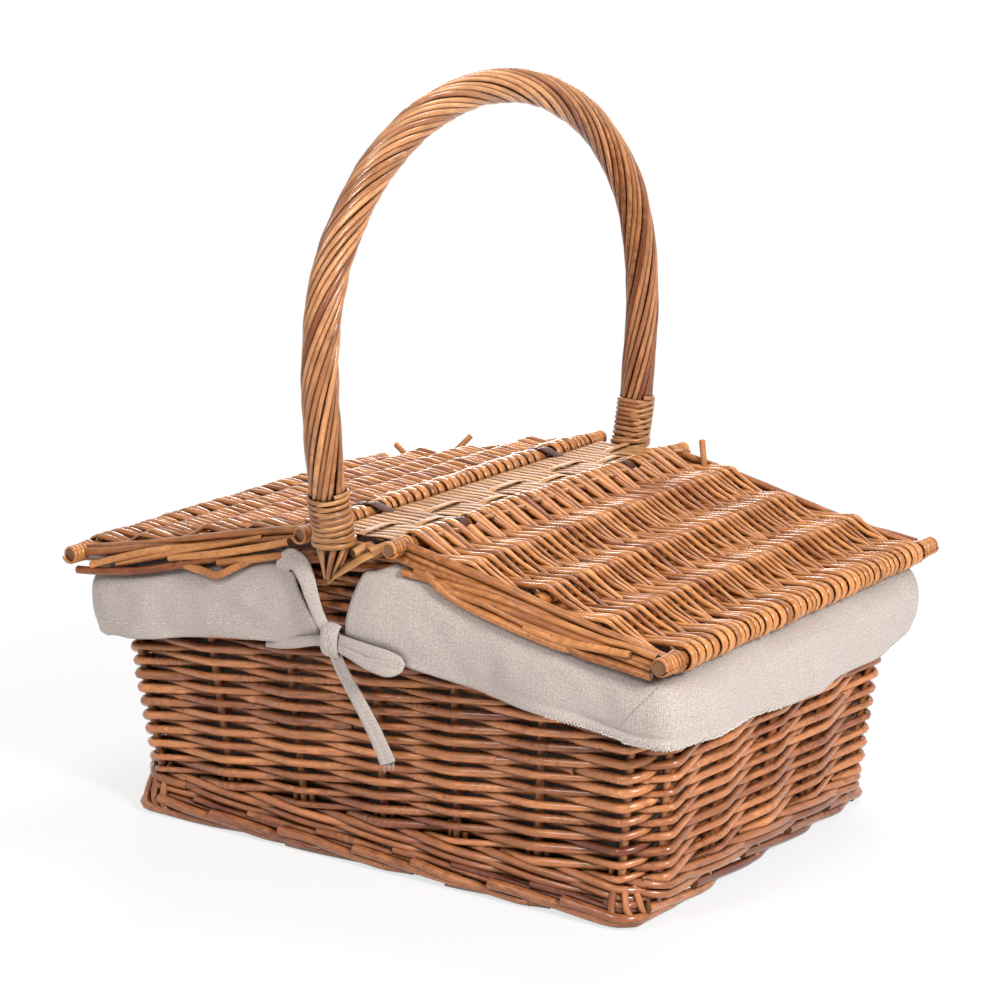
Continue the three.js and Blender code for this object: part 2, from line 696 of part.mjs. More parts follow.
// A strap round the bridge's edge stick and a lid's hinge stick
function hingeLoop(hand, y) {
  const near = new THREE.Vector2(hand * BRIDGE_STICK_SPAN, bridgeMiddle);
  const far = new THREE.Vector2(hand * HINGE_HALF_SPAN, HINGE_HEIGHT);
  const lean = Math.atan2(far.y - near.y, far.x - near.x);
  const nearRadius = BRIDGE_STICK_RADIUS + CLEARANCE;
  const farRadius = HINGE_STICK_RADIUS + CLEARANCE;
  const halfTurn = Math.PI / 2;
  const outline = (extra, path) => {
    path.absarc(far.x, far.y, farRadius + extra, lean - halfTurn, lean + halfTurn, false);
    path.absarc(near.x, near.y, nearRadius + extra, lean + halfTurn, lean + 3 * halfTurn, false);
    path.closePath();
    return path;
  };
  const band = outline(LOOP_THICKNESS, new THREE.Shape());
  band.holes.push(outline(0, new THREE.Path()));
  const geometry = new THREE.ExtrudeGeometry(band, { depth: LOOP_WIDTH, bevelEnabled: false, curveSegments: 4 });
  return geometry.rotateX(Math.PI / 2).translate(0, y + LOOP_WIDTH / 2, 0);
}

const HANDS = [{ name: 'left', sign: -1 }, { name: 'right', sign: 1 }];
for (const hand of HANDS) {
  LOOP_PLACES.forEach((y, i) => {
    place(`hinge_loop_${hand.name}_${i + 1}`, hingeLoop(hand.sign, y), strap());
  });
}

// A lid in its own frame: the hinge stick lies on the Y axis and the panel runs along +X
const wrapRadius = HINGE_STICK_RADIUS + WRAP_THICKNESS;
const lidReach = halfLength(endMiddle) + LID_OVERHANG - HINGE_HALF_SPAN;
const lidLength = lidReach / Math.cos(radians(LID_PITCH_DEG));

function acrossRod(x, halfRun, radius, sides = 10) {
  return rod(point(x, -halfRun, 0), point(x, halfRun, 0), radius, sides);
}

// The lid's section: round the hinge stick, over or under each stick in turn, round the outer
// stick and back underneath. At the lid's sides it shrinks to the rods laid along the edge.
function lidSection({ y, group, height }) {
  const ring = [];
  const arcSteps = 3;
  const wrap = (x, radius, from) => {
    for (let i = 0; i <= arcSteps; i++) {
      const angle = from - Math.PI * i / arcSteps;
      const reach = Math.min(radius, height);
      ring.push(point(x + reach * Math.cos(angle), y, reach * Math.sin(angle)));
    }
  };
  const onStick = (i, face) => {
    const over = (i / 2 + group) % 2 === 0;
    const worked = group !== null && over === (face > 0);
    return LID_STICK_RADIUS + (worked ? LID_ROD_THICKNESS : WEAVER_WALL);
  };
  const woven = (i, face) => {
    const side = face > 0 ? height : wrapRadius;
    const worked = i % 2 ? LID_HOLLOW : onStick(i, face);
    const z = Number.isFinite(height) ? side : worked;
    ring.push(point(lidLength * i / (2 * LID_BAYS), y, face * z));
  };
  wrap(0, wrapRadius, 1.5 * Math.PI);
  for (let i = 1; i < 2 * LID_BAYS; i++) {
    woven(i, 1);
  }
  wrap(lidLength, outerWrapRadius, Math.PI / 2);
  for (let i = 2 * LID_BAYS - 1; i > 0; i--) {
    woven(i, -1);
  }
  return ring;
}

function lidRows() {
  const rows = [];
  for (let k = 0; k <= LID_GROUPS; k++) {
    const edge = k === 0 || k === LID_GROUPS;
    const y = LID_HALF_WIDTH * (2 * k / LID_GROUPS - 1);
    rows.push({ y, group: edge ? null : k, height: Infinity });
  }
  for (let n = 0; n < LID_SIDE_RODS; n++) {
    const crest = LID_HALF_WIDTH + LID_SIDE_ROD_RADIUS * (2 * n + 1);
    const valley = crest + LID_SIDE_ROD_RADIUS;
    const groove = LID_SIDE_ROD_RISE - LID_SIDE_ROD_GROOVE;
    for (const [y, height] of [[crest, LID_SIDE_ROD_RISE], [valley, groove]]) {
      rows.push({ y, group: null, height });
      rows.unshift({ y: -y, group: null, height });
    }
  }
  return rows;
}

function lidWeave() {
  const pieces = [loft(lidRows().map(lidSection))];
  for (let bay = 1; bay < LID_BAYS; bay++) {
    const x = lidLength * bay / LID_BAYS;
    pieces.push(acrossRod(x, LID_HALF_WIDTH + LID_STICK_OVERHANG, LID_STICK_RADIUS));
  }
  const end = LID_HALF_WIDTH + 2 * STICK_END_OVERHANG;
  const cuts = [
    acrossRod(0, end, HINGE_STICK_RADIUS + CLEARANCE),
    acrossRod(lidLength, end, OUTER_STICK_RADIUS + CLEARANCE),
  ];
  // The slot for a strap also clears the strap's straight run when the lid stands open
  const loopSpace = HINGE_STICK_RADIUS + 2 * CLEARANCE + LOOP_THICKNESS;
  const slotReach = Math.hypot(loopSpace, wrapRadius) + CLEARANCE;
  for (const y of LOOP_PLACES) {
    cuts.push(rod(point(0, y - loopSlot / 2, 0), point(0, y + loopSlot / 2, 0), slotReach, 14));
  }
  return cut(join(pieces), cuts);
}

for (const hand of HANDS) {
  const lid = new THREE.Group();
  lid.position.set(hand.sign * HINGE_HALF_SPAN, 0, HINGE_HEIGHT);
  lid.rotation.order = 'ZYX';
  lid.rotation.z = hand.sign > 0 ? 0 : Math.PI;
  lid.rotation.y = radians(LID_PITCH_DEG);
  basket.add(lid);
  const stickEnd = LID_HALF_WIDTH + STICK_END_OVERHANG;
  place(`${hand.name}_lid_weave`, lidWeave(), willow(LID_WILLOW), lid);
  place(`${hand.name}_lid_hinge_stick`, acrossRod(0, stickEnd, HINGE_STICK_RADIUS), willow(LID_WILLOW), lid);
  const outerStick = acrossRod(lidLength, stickEnd, OUTER_STICK_RADIUS);
  place(`${hand.name}_lid_outer_stick`, outerStick, willow(LID_WILLOW), lid);
}

// The liner: a cloth bag that follows the walls inside
const bagOuter = wallMiddle - RIM_WIDTH / 2 - CLOTH_CLEARANCE;

function bagRing(offset, height) {
  const ring = [];
  for (const side of SIDES) {
    const peak = HINGE_HALF_SPAN / (halfLength(endMiddle) - WALL_CORNER_RADIUS);
    const places = side.long ? [-1, -peak, peak, 1, 2] : [-1, 1, 2];
    for (const at of places) {
      const turn = point(0, 0, 1);
      const flat = sidePoint(side, at, offset, endMiddle).applyAxisAngle(turn, radians(side.turn));
      const z = height(flat.x);
      ring.push(sidePoint(side, at, offset, z).applyAxisAngle(turn, radians(side.turn)));
    }
  }
  return ring;
}

function linerBag() {
  const floor = WALL_BOTTOM;
  const outside = loft([bagRing(bagOuter, () => floor), bagRing(bagOuter, rimMiddle)]);
  const inner = bagOuter - CLOTH_THICKNESS;
  const inside = loft([
    bagRing(inner, () => floor + CLOTH_THICKNESS),
    bagRing(inner, (x) => rimMiddle(x) + RIM_HEIGHT),
  ]);
  return cut(outside, [inside]);
}

place('liner_bag', linerBag(), cloth());

// Each half of the liner is turned out over the rim and hangs down as a cuff. Its path runs
// from the gap at the handle along a long side, round a corner, along the end and back again.
function cuffPath(hand) {
  const straight = halfLength(endMiddle) - WALL_CORNER_RADIUS;
  const arc = Math.PI / 2 * WALL_CORNER_RADIUS;
  const endRun = 2 * (halfWidth(endMiddle) - WALL_CORNER_RADIUS);
  const start = hand.sign * HANDLE_X + CUFF_GAP;
  const sideRun = straight - start;
  const total = 2 * sideRun + 2 * arc + endRun;
  return { straight, arc, endRun, start, sideRun, total };
}

function cuffTravels({ arc, endRun, start, sideRun, total }) {
  const spread = (from, run, steps) => Array.from({ length: steps }, (_, i) => from + run * (i + 1) / steps);
  const level = HINGE_HALF_SPAN - start;
  const half = [
    0,
    level,
    ...spread(level, sideRun - level, CUFF_SIDE_STEPS),
    ...spread(sideRun, arc, CUFF_CORNER_STEPS),
    ...spread(sideRun + arc, endRun / 2, CUFF_END_STEPS / 2),
  ];
  return [...half, ...half.slice(0, -1).reverse().map((travel) => total - travel)];
}

// A station of the cuff: the place on the stake line, the way out, and what hangs there
function cuffStation(hand, path, travel) {
  const { straight, arc, endRun, start, sideRun, total } = path;
  const mirrored = travel > total / 2;
  const run = mirrored ? total - travel : travel;
  const deep = halfWidth(endMiddle);
  const end = halfLength(endMiddle);
  let [x, y, heading, hem] = [0, 0, 0, 0];
  if (run <= sideRun) {
    x = start + run;
    y = -halfWidth(rimMiddle(x));
    const share = Math.pow(1 - x / end, HEM_RISE_POWER);
    hem = HEM_CORNER_HEIGHT + (HEM_HANDLE_HEIGHT - HEM_CORNER_HEIGHT) * share;
  } else if (run <= sideRun + arc) {
    heading = (run - sideRun) / WALL_CORNER_RADIUS;
    x = straight + WALL_CORNER_RADIUS * Math.sin(heading);
    y = -deep + WALL_CORNER_RADIUS * (1 - Math.cos(heading));
    hem = HEM_CORNER_HEIGHT;
  } else {
    heading = Math.PI / 2;
    x = end;
    y = -(endRun / 2) + (run - sideRun - arc);
    hem = HEM_END_HEIGHT + (HEM_CORNER_HEIGHT - HEM_END_HEIGHT) * Math.pow(2 * y / endRun, 2);
  }
  const away = point(Math.sin(heading), -Math.cos(heading), 0);
  const foot = point(x, y, 0);
  if (mirrored) {
    foot.y = -foot.y;
    away.y = -away.y;
  }
  foot.x *= hand.sign;
  away.x *= hand.sign;
  return { foot, away, hem, fromGap: run };
}

// The cuff's section at a station, as offsets out from the stake line and heights
function cuffSection(station) {
  const crest = rimTop(station.foot.x + station.away.x * wallMiddle);
  const drop = crest - station.hem;
  const rimIn = wallMiddle - RIM_WIDTH / 2 - CLOTH_CLEARANCE;
  const rimOut = wallMiddle + RIM_WIDTH / 2 + CLOTH_CLEARANCE;
  const fold = CUFF_FOLD_DEPTH * Math.sin(2 * Math.PI * station.fromGap / CUFF_FOLD_LENGTH);
  const tilt = (out) => -lidSlope * Math.abs(station.away.x) * (out - wallMiddle);
  const lean = THREE.MathUtils.lerp(leanWidth, leanLength, Math.abs(station.away.x));
  const follow = (depth) => -depth * drop * lean;
  const bellyOut = rimOut + CUFF_BULGE + fold + follow(CUFF_BELLY_DEPTH);
  return [
    [rimIn, crest - RIM_HEIGHT / 2 + 2 * CLOTH_CLEARANCE + tilt(rimIn)],
    [rimIn, crest - CUFF_TURN / 2 + tilt(rimIn)],
    [rimIn + CUFF_LIP, crest + CLOTH_CLEARANCE + tilt(rimIn + CUFF_LIP)],
    [rimOut - CUFF_LIP, crest + CLOTH_CLEARANCE + tilt(rimOut - CUFF_LIP)],
    [rimOut, crest - CUFF_TURN + tilt(rimOut)],
    [rimOut + CUFF_SHOULDER_BULGE + fold / 2, crest - CUFF_SHOULDER_DEPTH * drop],
    [bellyOut, crest - CUFF_BELLY_DEPTH * drop],
    [rimOut + CUFF_HEM_BULGE + CUFF_HEM_FLARE * fold + follow(1), crest - drop],
  ];
}

// The same section moved out by the cloth's thickness, along its own normals
function thickened(section) {
  return section.map(([out, z], i) => {
    const [o0, z0] = section[Math.max(i - 1, 0)];
    const [o1, z1] = section[Math.min(i + 1, section.length - 1)];
    const run = Math.hypot(o1 - o0, z1 - z0);
    return [out + CLOTH_THICKNESS * (z0 - z1) / run, z + CLOTH_THICKNESS * (o1 - o0) / run];
  });
}

// The tie draws the lower corner of a cuff's end towards the knot
function knotPull(station, z) {
  const near = Math.max(1 - station.fromGap / CUFF_PULL_RUN, 0);
  const crest = rimTop(station.foot.x);
  const depth = THREE.MathUtils.clamp((crest - z) / (crest - station.hem), 0, 1);
  return (CUFF_GAP - KNOT_HALF_WIDTH - CLOTH_CLEARANCE) * near * depth * depth;
}

function linerCuff(hand) {
  const path = cuffPath(hand);
  const stations = cuffTravels(path).map((travel) => cuffStation(hand, path, travel));
  const lay = (station, section) => section.map(([out, z]) => {
    const p = station.foot.clone().addScaledVector(station.away, out).setZ(z);
    p.x -= hand.sign * knotPull(station, z);
    return p;
  });
  const under = stations.map((s) => lay(s, cuffSection(s)));
  const over = stations.map((s) => lay(s, thickened(cuffSection(s))));
  return sheet(over, under);
}

HANDS.forEach((hand) => place(`liner_cuff_${hand.name}`, linerCuff(hand), cloth()));

// The ties: a knot with a flat loop at each side, and the tail that hangs from it
const cuffHem = wallMiddle + RIM_WIDTH / 2 + CUFF_HEM_BULGE + CLOTH_THICKNESS;
const knotOut = halfWidth(KNOT_HEIGHT) + cuffHem + KNOT_SEAT;

function tieEnd(turnDeg, geometry) {
  return geometry.rotateZ(radians(turnDeg)).translate(HANDLE_X, 0, 0);
}

function flatRing(centre, across, halfWidthHere, halfThickness, outward) {
  const sides = 8;
  return Array.from({ length: sides }, (_, k) => {
    const angle = 2 * Math.PI * k / sides;
    return centre.clone()
      .addScaledVector(across, halfWidthHere * Math.cos(angle))
      .addScaledVector(outward, halfThickness * Math.sin(angle));
  });
}

function tieKnot() {
  const knot = new THREE.SphereGeometry(1, 10, 8);
  knot.scale(KNOT_HALF_WIDTH, KNOT_HALF_DEPTH, KNOT_HALF_HEIGHT).translate(0, -knotOut, KNOT_HEIGHT);
  const rings = Array.from({ length: TIE_LOOP_STEPS }, (_, i) => {
    const u = i / (TIE_LOOP_STEPS - 1);
    const swell = TIE_LOOP_PINCH + (1 - TIE_LOOP_PINCH) * Math.sin(Math.PI * u);
    const centre = point(TIE_LOOP_LENGTH * u, -knotOut - TIE_LOOP_LEAN * u, KNOT_HEIGHT - 2 * swell);
    const outward = point(0, -1, 0);
    return flatRing(centre, point(0, 0, 1), TIE_LOOP_HALF_WIDTH * swell, TIE_LOOP_HALF_DEPTH * swell, outward);
  });
  return join([knot, loft(rings)]);
}

// The tail's route from the knot, as shares of its drop, relative to the handle's line
const TIE_TAIL_ROUTE = [
  point(0.026, 0, -0.126),
  point(0.066, 0.013, -0.224),
  point(0.145, 0.053, -0.395),
  point(0.224, 0.092, -0.566),
  point(0.289, 0.132, -0.724),
  point(0.355, 0.158, -0.882),
  point(0.408, 0.171, -1),
];

function tieTail() {
  const curve = new THREE.CatmullRomCurve3(TIE_TAIL_ROUTE.map((p) => {
    return p.clone().multiplyScalar(TIE_TAIL_DROP).add(point(0, -knotOut, KNOT_HEIGHT));
  }));
  const steps = 10;
  const rings = Array.from({ length: steps + 1 }, (_, i) => {
    const u = i / steps;
    const outward = point(0, -1, 0);
    const across = curve.getTangentAt(u).cross(outward).normalize();
    return flatRing(curve.getPointAt(u), across, TIE_WIDTH / 2, TIE_THICKNESS / 2, outward);
  });
  return loft(rings);
}

for (const [name, turn] of [['front', 0], ['back', 180]]) {
  const knot = tieKnot();
  place(`tie_${name}`, tieEnd(turn, knot), cloth());
  place(`tie_tail_${name}`, tieEnd(turn, cut(tieTail(), [tieKnot()])), cloth());
}

export default basket;
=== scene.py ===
import math

import bpy
import numpy as np
from bpy.props import FloatProperty, FloatVectorProperty, IntProperty, PointerProperty
from bpy.types import Operator, Panel, PropertyGroup
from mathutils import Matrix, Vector


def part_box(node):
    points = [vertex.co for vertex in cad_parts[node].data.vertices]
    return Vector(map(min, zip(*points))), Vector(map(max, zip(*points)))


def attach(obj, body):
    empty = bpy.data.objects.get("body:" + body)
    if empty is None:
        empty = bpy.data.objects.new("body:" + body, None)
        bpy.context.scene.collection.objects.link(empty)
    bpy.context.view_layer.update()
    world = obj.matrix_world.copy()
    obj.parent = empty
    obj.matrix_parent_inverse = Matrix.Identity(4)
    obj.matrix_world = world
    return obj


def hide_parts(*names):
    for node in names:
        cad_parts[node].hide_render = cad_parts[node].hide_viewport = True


bl_info = {
    "name": "Picnic basket",
    "version": (1, 0, 0),
    "blender": (4, 5, 0),
    "location": "View3D > Sidebar > Basket",
    "description": "Dresses the picnic basket with woven willow, a linen liner and its ties",
    "category": "Object",
}

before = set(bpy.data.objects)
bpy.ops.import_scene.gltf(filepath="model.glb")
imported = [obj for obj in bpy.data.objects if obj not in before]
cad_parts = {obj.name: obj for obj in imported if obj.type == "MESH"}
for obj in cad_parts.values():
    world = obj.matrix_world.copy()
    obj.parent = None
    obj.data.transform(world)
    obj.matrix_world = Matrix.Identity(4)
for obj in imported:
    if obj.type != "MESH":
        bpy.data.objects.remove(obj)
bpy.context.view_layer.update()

# Sizes of the frame, in millimetres. Everything below is worked out in millimetres, and meshes are in metres.
MM = 0.001
X_AXIS = np.array([1.0, 0, 0])
Y_AXIS = np.array([0, 1.0, 0])
FOOT_HALF_LENGTH = 190.0
FOOT_HALF_WIDTH = 132.0
LEAN_LENGTH = math.tan(math.radians(7.0))
LEAN_WIDTH = math.tan(math.radians(4.65))
WALL_BOTTOM = 16.0
WALL_CORNER = 14.0
STAKE_LINE = 2.0
RIM_MIDDLE = 2.5
LID_PITCH = math.radians(12.0)
LID_SLOPE = math.tan(LID_PITCH)
HINGE_SPAN = 33.0
HINGE_HEIGHT = 213.0
LID_LENGTH = 192.72
LID_HALF_WIDTH = 154.0
LID_DEPTH = 7.77
CUFF_ROOM = 2.2
LID_BAYS = 4
LID_GROUPS = 36
HINGE_STICK = 4.6
LID_STICK = 4.6
OUTER_STICK = 5.1
BRIDGE_SPAN = 21.0
BRIDGE_REACH = 151
BRIDGE_STICK = 4.0
BRIDGE_MIDDLE = 210.2
LOOP_PLACE = 95.0
HANDLE_X = -8.0
KNOT_HEIGHT = 152.0
END_MIDDLE = 159.4


def linear(colour):
    """An sRGB hex colour as linear red, green and blue."""
    shares = [int(colour[i:i + 2], 16) / 255 for i in (0, 2, 4)]
    return tuple(s / 12.92 if s <= 0.04045 else ((s + 0.055) / 1.055) ** 2.4 for s in shares)


def colour_setting(name, description, colour):
    """A colour that a user may change."""
    return FloatVectorProperty(name=name, description=description, subtype='COLOR', size=3, min=0.0, max=1.0,
                               default=linear(colour))


def length_setting(name, description, millimetres):
    """A length that a user may change."""
    return FloatProperty(name=name, description=description, default=millimetres / 1000, unit='LENGTH')


class BasketSizes(PropertyGroup):
    """Sizes of the rods and the cloth."""

    row_pitch: length_setting("Row pitch", "Height from one row of wall rods to the next", 4.65)
    wall_rod: length_setting("Wall rod", "Diameter of a wall rod at its middle", 5.1)
    foot_rod: length_setting("Foot rod", "Diameter of a rod of the foot border", 6.6)
    lid_rod: length_setting("Lid rod", "Diameter of a lid rod at its middle", 3.7)
    handle_rods: IntProperty(name="Handle rods", description="Rods twisted round the handle", default=16,
                             min=3)
    handle_twist: length_setting("Handle twist", "Length of one turn of the handle's rods", 200.0)
    binding_turns: IntProperty(name="Binding turns", description="Turns of skein round a foot of the handle",
                               default=9, min=1)
    skein: length_setting("Skein", "Width of a flat skein on the bridge", 6.6)
    cloth: length_setting("Cloth", "Thickness of the liner", 1.3)
    fold: length_setting("Fold", "Depth of the folds at the hem", 3.5)


class BasketColours(PropertyGroup):
    """Colours of the finishes."""

    wall_dark: colour_setting("Wall, dark", "Dark bark of the wall rods", "70351b")
    wall_light: colour_setting("Wall, light", "Light parts of the wall rods", "e6975f")
    lid_dark: colour_setting("Lid, dark", "Dark parts of the lid rods", "803d10")
    lid_light: colour_setting("Lid, light", "Light parts of the lid rods", "e49a58")
    handle_dark: colour_setting("Handle, dark", "Dark parts of the handle's rods", "7a3b12")
    handle_light: colour_setting("Handle, light", "Light parts of the handle's rods", "eba86f")
    skein_dark: colour_setting("Skein, dark", "Dark parts of the split skeins", "a06838")
    skein_light: colour_setting("Skein, light", "Light parts of the split skeins", "d19963")
    cut_end: colour_setting("Cut ends", "Pith at the cut ends of rods", "8a5f3a")
    linen: colour_setting("Linen", "Threads of the liner", "d6c9c1")
    linen_dark: colour_setting("Linen, dark", "Slubs and gaps of the liner", "998b83")
    thread: colour_setting("Thread", "Overlock and stitching thread", "efe9df")
    strap: colour_setting("Strap", "Leather of the hinge straps", "45261a")
    floor: colour_setting("Floor", "The floor it stands on", "f4f4f4")


# Shapes of the frame

def half_length(z):
    """Half the length of the stakes' outline at a height."""
    return FOOT_HALF_LENGTH + LEAN_LENGTH * (z - WALL_BOTTOM)


def half_width(z):
    """Half the width of the stakes' outline at a height."""
    return FOOT_HALF_WIDTH + LEAN_WIDTH * (z - WALL_BOTTOM)


def rim_top(x):
    """Height of the rim's top: below the lids, by their depth and the room that the cuffs need."""
    return HINGE_HEIGHT - LID_SLOPE * np.maximum(np.abs(x) - HINGE_SPAN, 0) - LID_DEPTH - CUFF_ROOM


BINDING_FOOT = float(rim_top(0.0)) + 12.0

# The 24 stakes in order round the wall, from the front's left end, seen from above against the clock.
# The middle stakes of the long sides stand aside for the handle.
STAKES = 24
LONG_PLACES = np.linspace(-1, 1, 7)
END_PLACES = np.linspace(-1, 1, 5)
STAKE_SIDE = np.array([0] * 7 + [1] * 5 + [2] * 7 + [3] * 5)
STAKE_AT = np.concatenate([LONG_PLACES, END_PLACES, LONG_PLACES, END_PLACES])
STAKE_SHIFT = np.zeros(STAKES)
STAKE_SHIFT[[3, 15]] = 4.0, -4.0


def wall_place(k, z, out):
    """Points on the wall: k counts stakes round it, z is the height and out the way out from the stakes."""
    k, z, out = np.broadcast_arrays(*(np.asarray(value, float) for value in (k, z, out)))
    k = np.mod(k, STAKES)
    i = np.minimum(np.floor(k).astype(int), STAKES - 1)
    t = k - i
    j = (i + 1) % STAKES
    side = STAKE_SIDE[i]
    long = side % 2 == 0
    run = np.where(long, half_length(z), half_width(z)) - WALL_CORNER
    deep = np.where(long, half_width(z), half_length(z))
    turn = STAKE_SIDE[j] != side
    first = STAKE_AT[i] * run + STAKE_SHIFT[i]
    second = STAKE_AT[j] * run + STAKE_SHIFT[j]
    angle = t * math.pi / 2
    along = np.where(turn, run + WALL_CORNER * t + out * np.sin(angle), first + (second - first) * t)
    depth = np.where(turn, deep - WALL_CORNER * t + out * np.cos(angle), deep + out)
    base = side * math.pi / 2
    c, s = np.cos(base), np.sin(base)
    return np.stack([c * along + s * depth, s * along - c * depth, z], axis=-1)


def lid_place(sign, points):
    """Points of a lid's own frame, with the hinge stick on Y and the panel along +X, placed on the basket."""
    points = np.asarray(points, float)
    x = points[..., 0] * math.cos(LID_PITCH) + points[..., 2] * math.sin(LID_PITCH)
    z = points[..., 2] * math.cos(LID_PITCH) - points[..., 0] * math.sin(LID_PITCH)
    return np.stack([sign * (HINGE_SPAN + x), sign * points[..., 1], HINGE_HEIGHT + z], axis=-1)


def smooth_path(points, count):
    """A smooth line through points, as count points at equal steps along it."""
    p = np.asarray(points, float)
    gaps = np.sqrt(np.linalg.norm(np.diff(p, axis=0), axis=1))
    knots = np.concatenate([[0], np.cumsum(gaps)])
    slope = np.gradient(p, knots, axis=0)
    t = np.linspace(0, knots[-1], max(20 * len(p), 4 * count))
    i = np.clip(np.searchsorted(knots, t, side='right') - 1, 0, len(p) - 2)
    h = (knots[i + 1] - knots[i])[:, None]
    u = (t - knots[i])[:, None] / h
    dense = ((2 * u ** 3 - 3 * u ** 2 + 1) * p[i] + (u ** 3 - 2 * u ** 2 + u) * h * slope[i]
             + (3 * u ** 2 - 2 * u ** 3) * p[i + 1] + (u ** 3 - u ** 2) * h * slope[i + 1])
    return even_steps(dense, count)


def run_along(path):
    """How far along a path each of its points is."""
    return np.concatenate([[0], np.cumsum(np.linalg.norm(np.diff(path, axis=0), axis=1))])


def even_steps(path, count):
    """A path as count points at equal steps along it."""
    run = run_along(path)
    t = np.linspace(0, run[-1], count)
    return np.stack([np.interp(t, run, path[:, k]) for k in range(path.shape[1])], axis=1)


def unit(vectors):
    """Vectors brought to a length of one."""
    return vectors / np.maximum(np.linalg.norm(vectors, axis=1, keepdims=True), 1e-9)


def spokes(angle, across, outward):
    """Directions that turn by an angle from across towards outward."""
    return np.cos(angle)[:, None] * across + np.sin(angle)[:, None] * outward


def band_out(points):
    """Directions square to a flat band that goes round something lying along Y."""
    return unit(np.cross(np.gradient(points, axis=0), Y_AXIS))


def wander(rng, count, steps, amount):
    """A slow smooth random change along count points."""
    marks = rng.uniform(-amount, amount, max(int(steps), 2) + 1)
    t = np.linspace(0, len(marks) - 1.001, count)
    i = t.astype(int)
    u = t - i
    u = u * u * (3 - 2 * u)
    return marks[i] * (1 - u) + marks[i + 1] * u


def tones(rng, middle, spread, count, steps, amount, shade=0.0):
    """The tones along a rod, from dark at 0 to light at 1: its own level and a slow change."""
    return np.clip(rng.normal(middle, spread) + wander(rng, count, steps, amount) + shade, 0.02, 1.0)


def ripple(u, v, seed):
    """Smooth noise from -1 to 1 whose cells are one unit of u and of v."""
    table = np.random.default_rng(seed).uniform(-1, 1, (97, 97))
    i, j = np.floor(u).astype(int), np.floor(v).astype(int)
    f, g = u - i, v - j
    f, g = f * f * (3 - 2 * f), g * g * (3 - 2 * g)
    at = lambda a, b: table[a % 97, b % 97]
    low = at(i, j) * (1 - f) + at(i + 1, j) * f
    high = at(i, j + 1) * (1 - f) + at(i + 1, j + 1) * f
    return low * (1 - g) + high * g


def ease(a, b, x):
    """A smooth change from 0 at a to 1 at b."""
    u = np.clip((x - a) / (b - a), 0, 1)
    return u * u * (3 - 2 * u)


def link_piece(name, mesh):
    """Puts a mesh into the scene as an object."""
    piece = bpy.data.objects.new(name, mesh)
    bpy.context.scene.collection.objects.link(piece)
    return piece


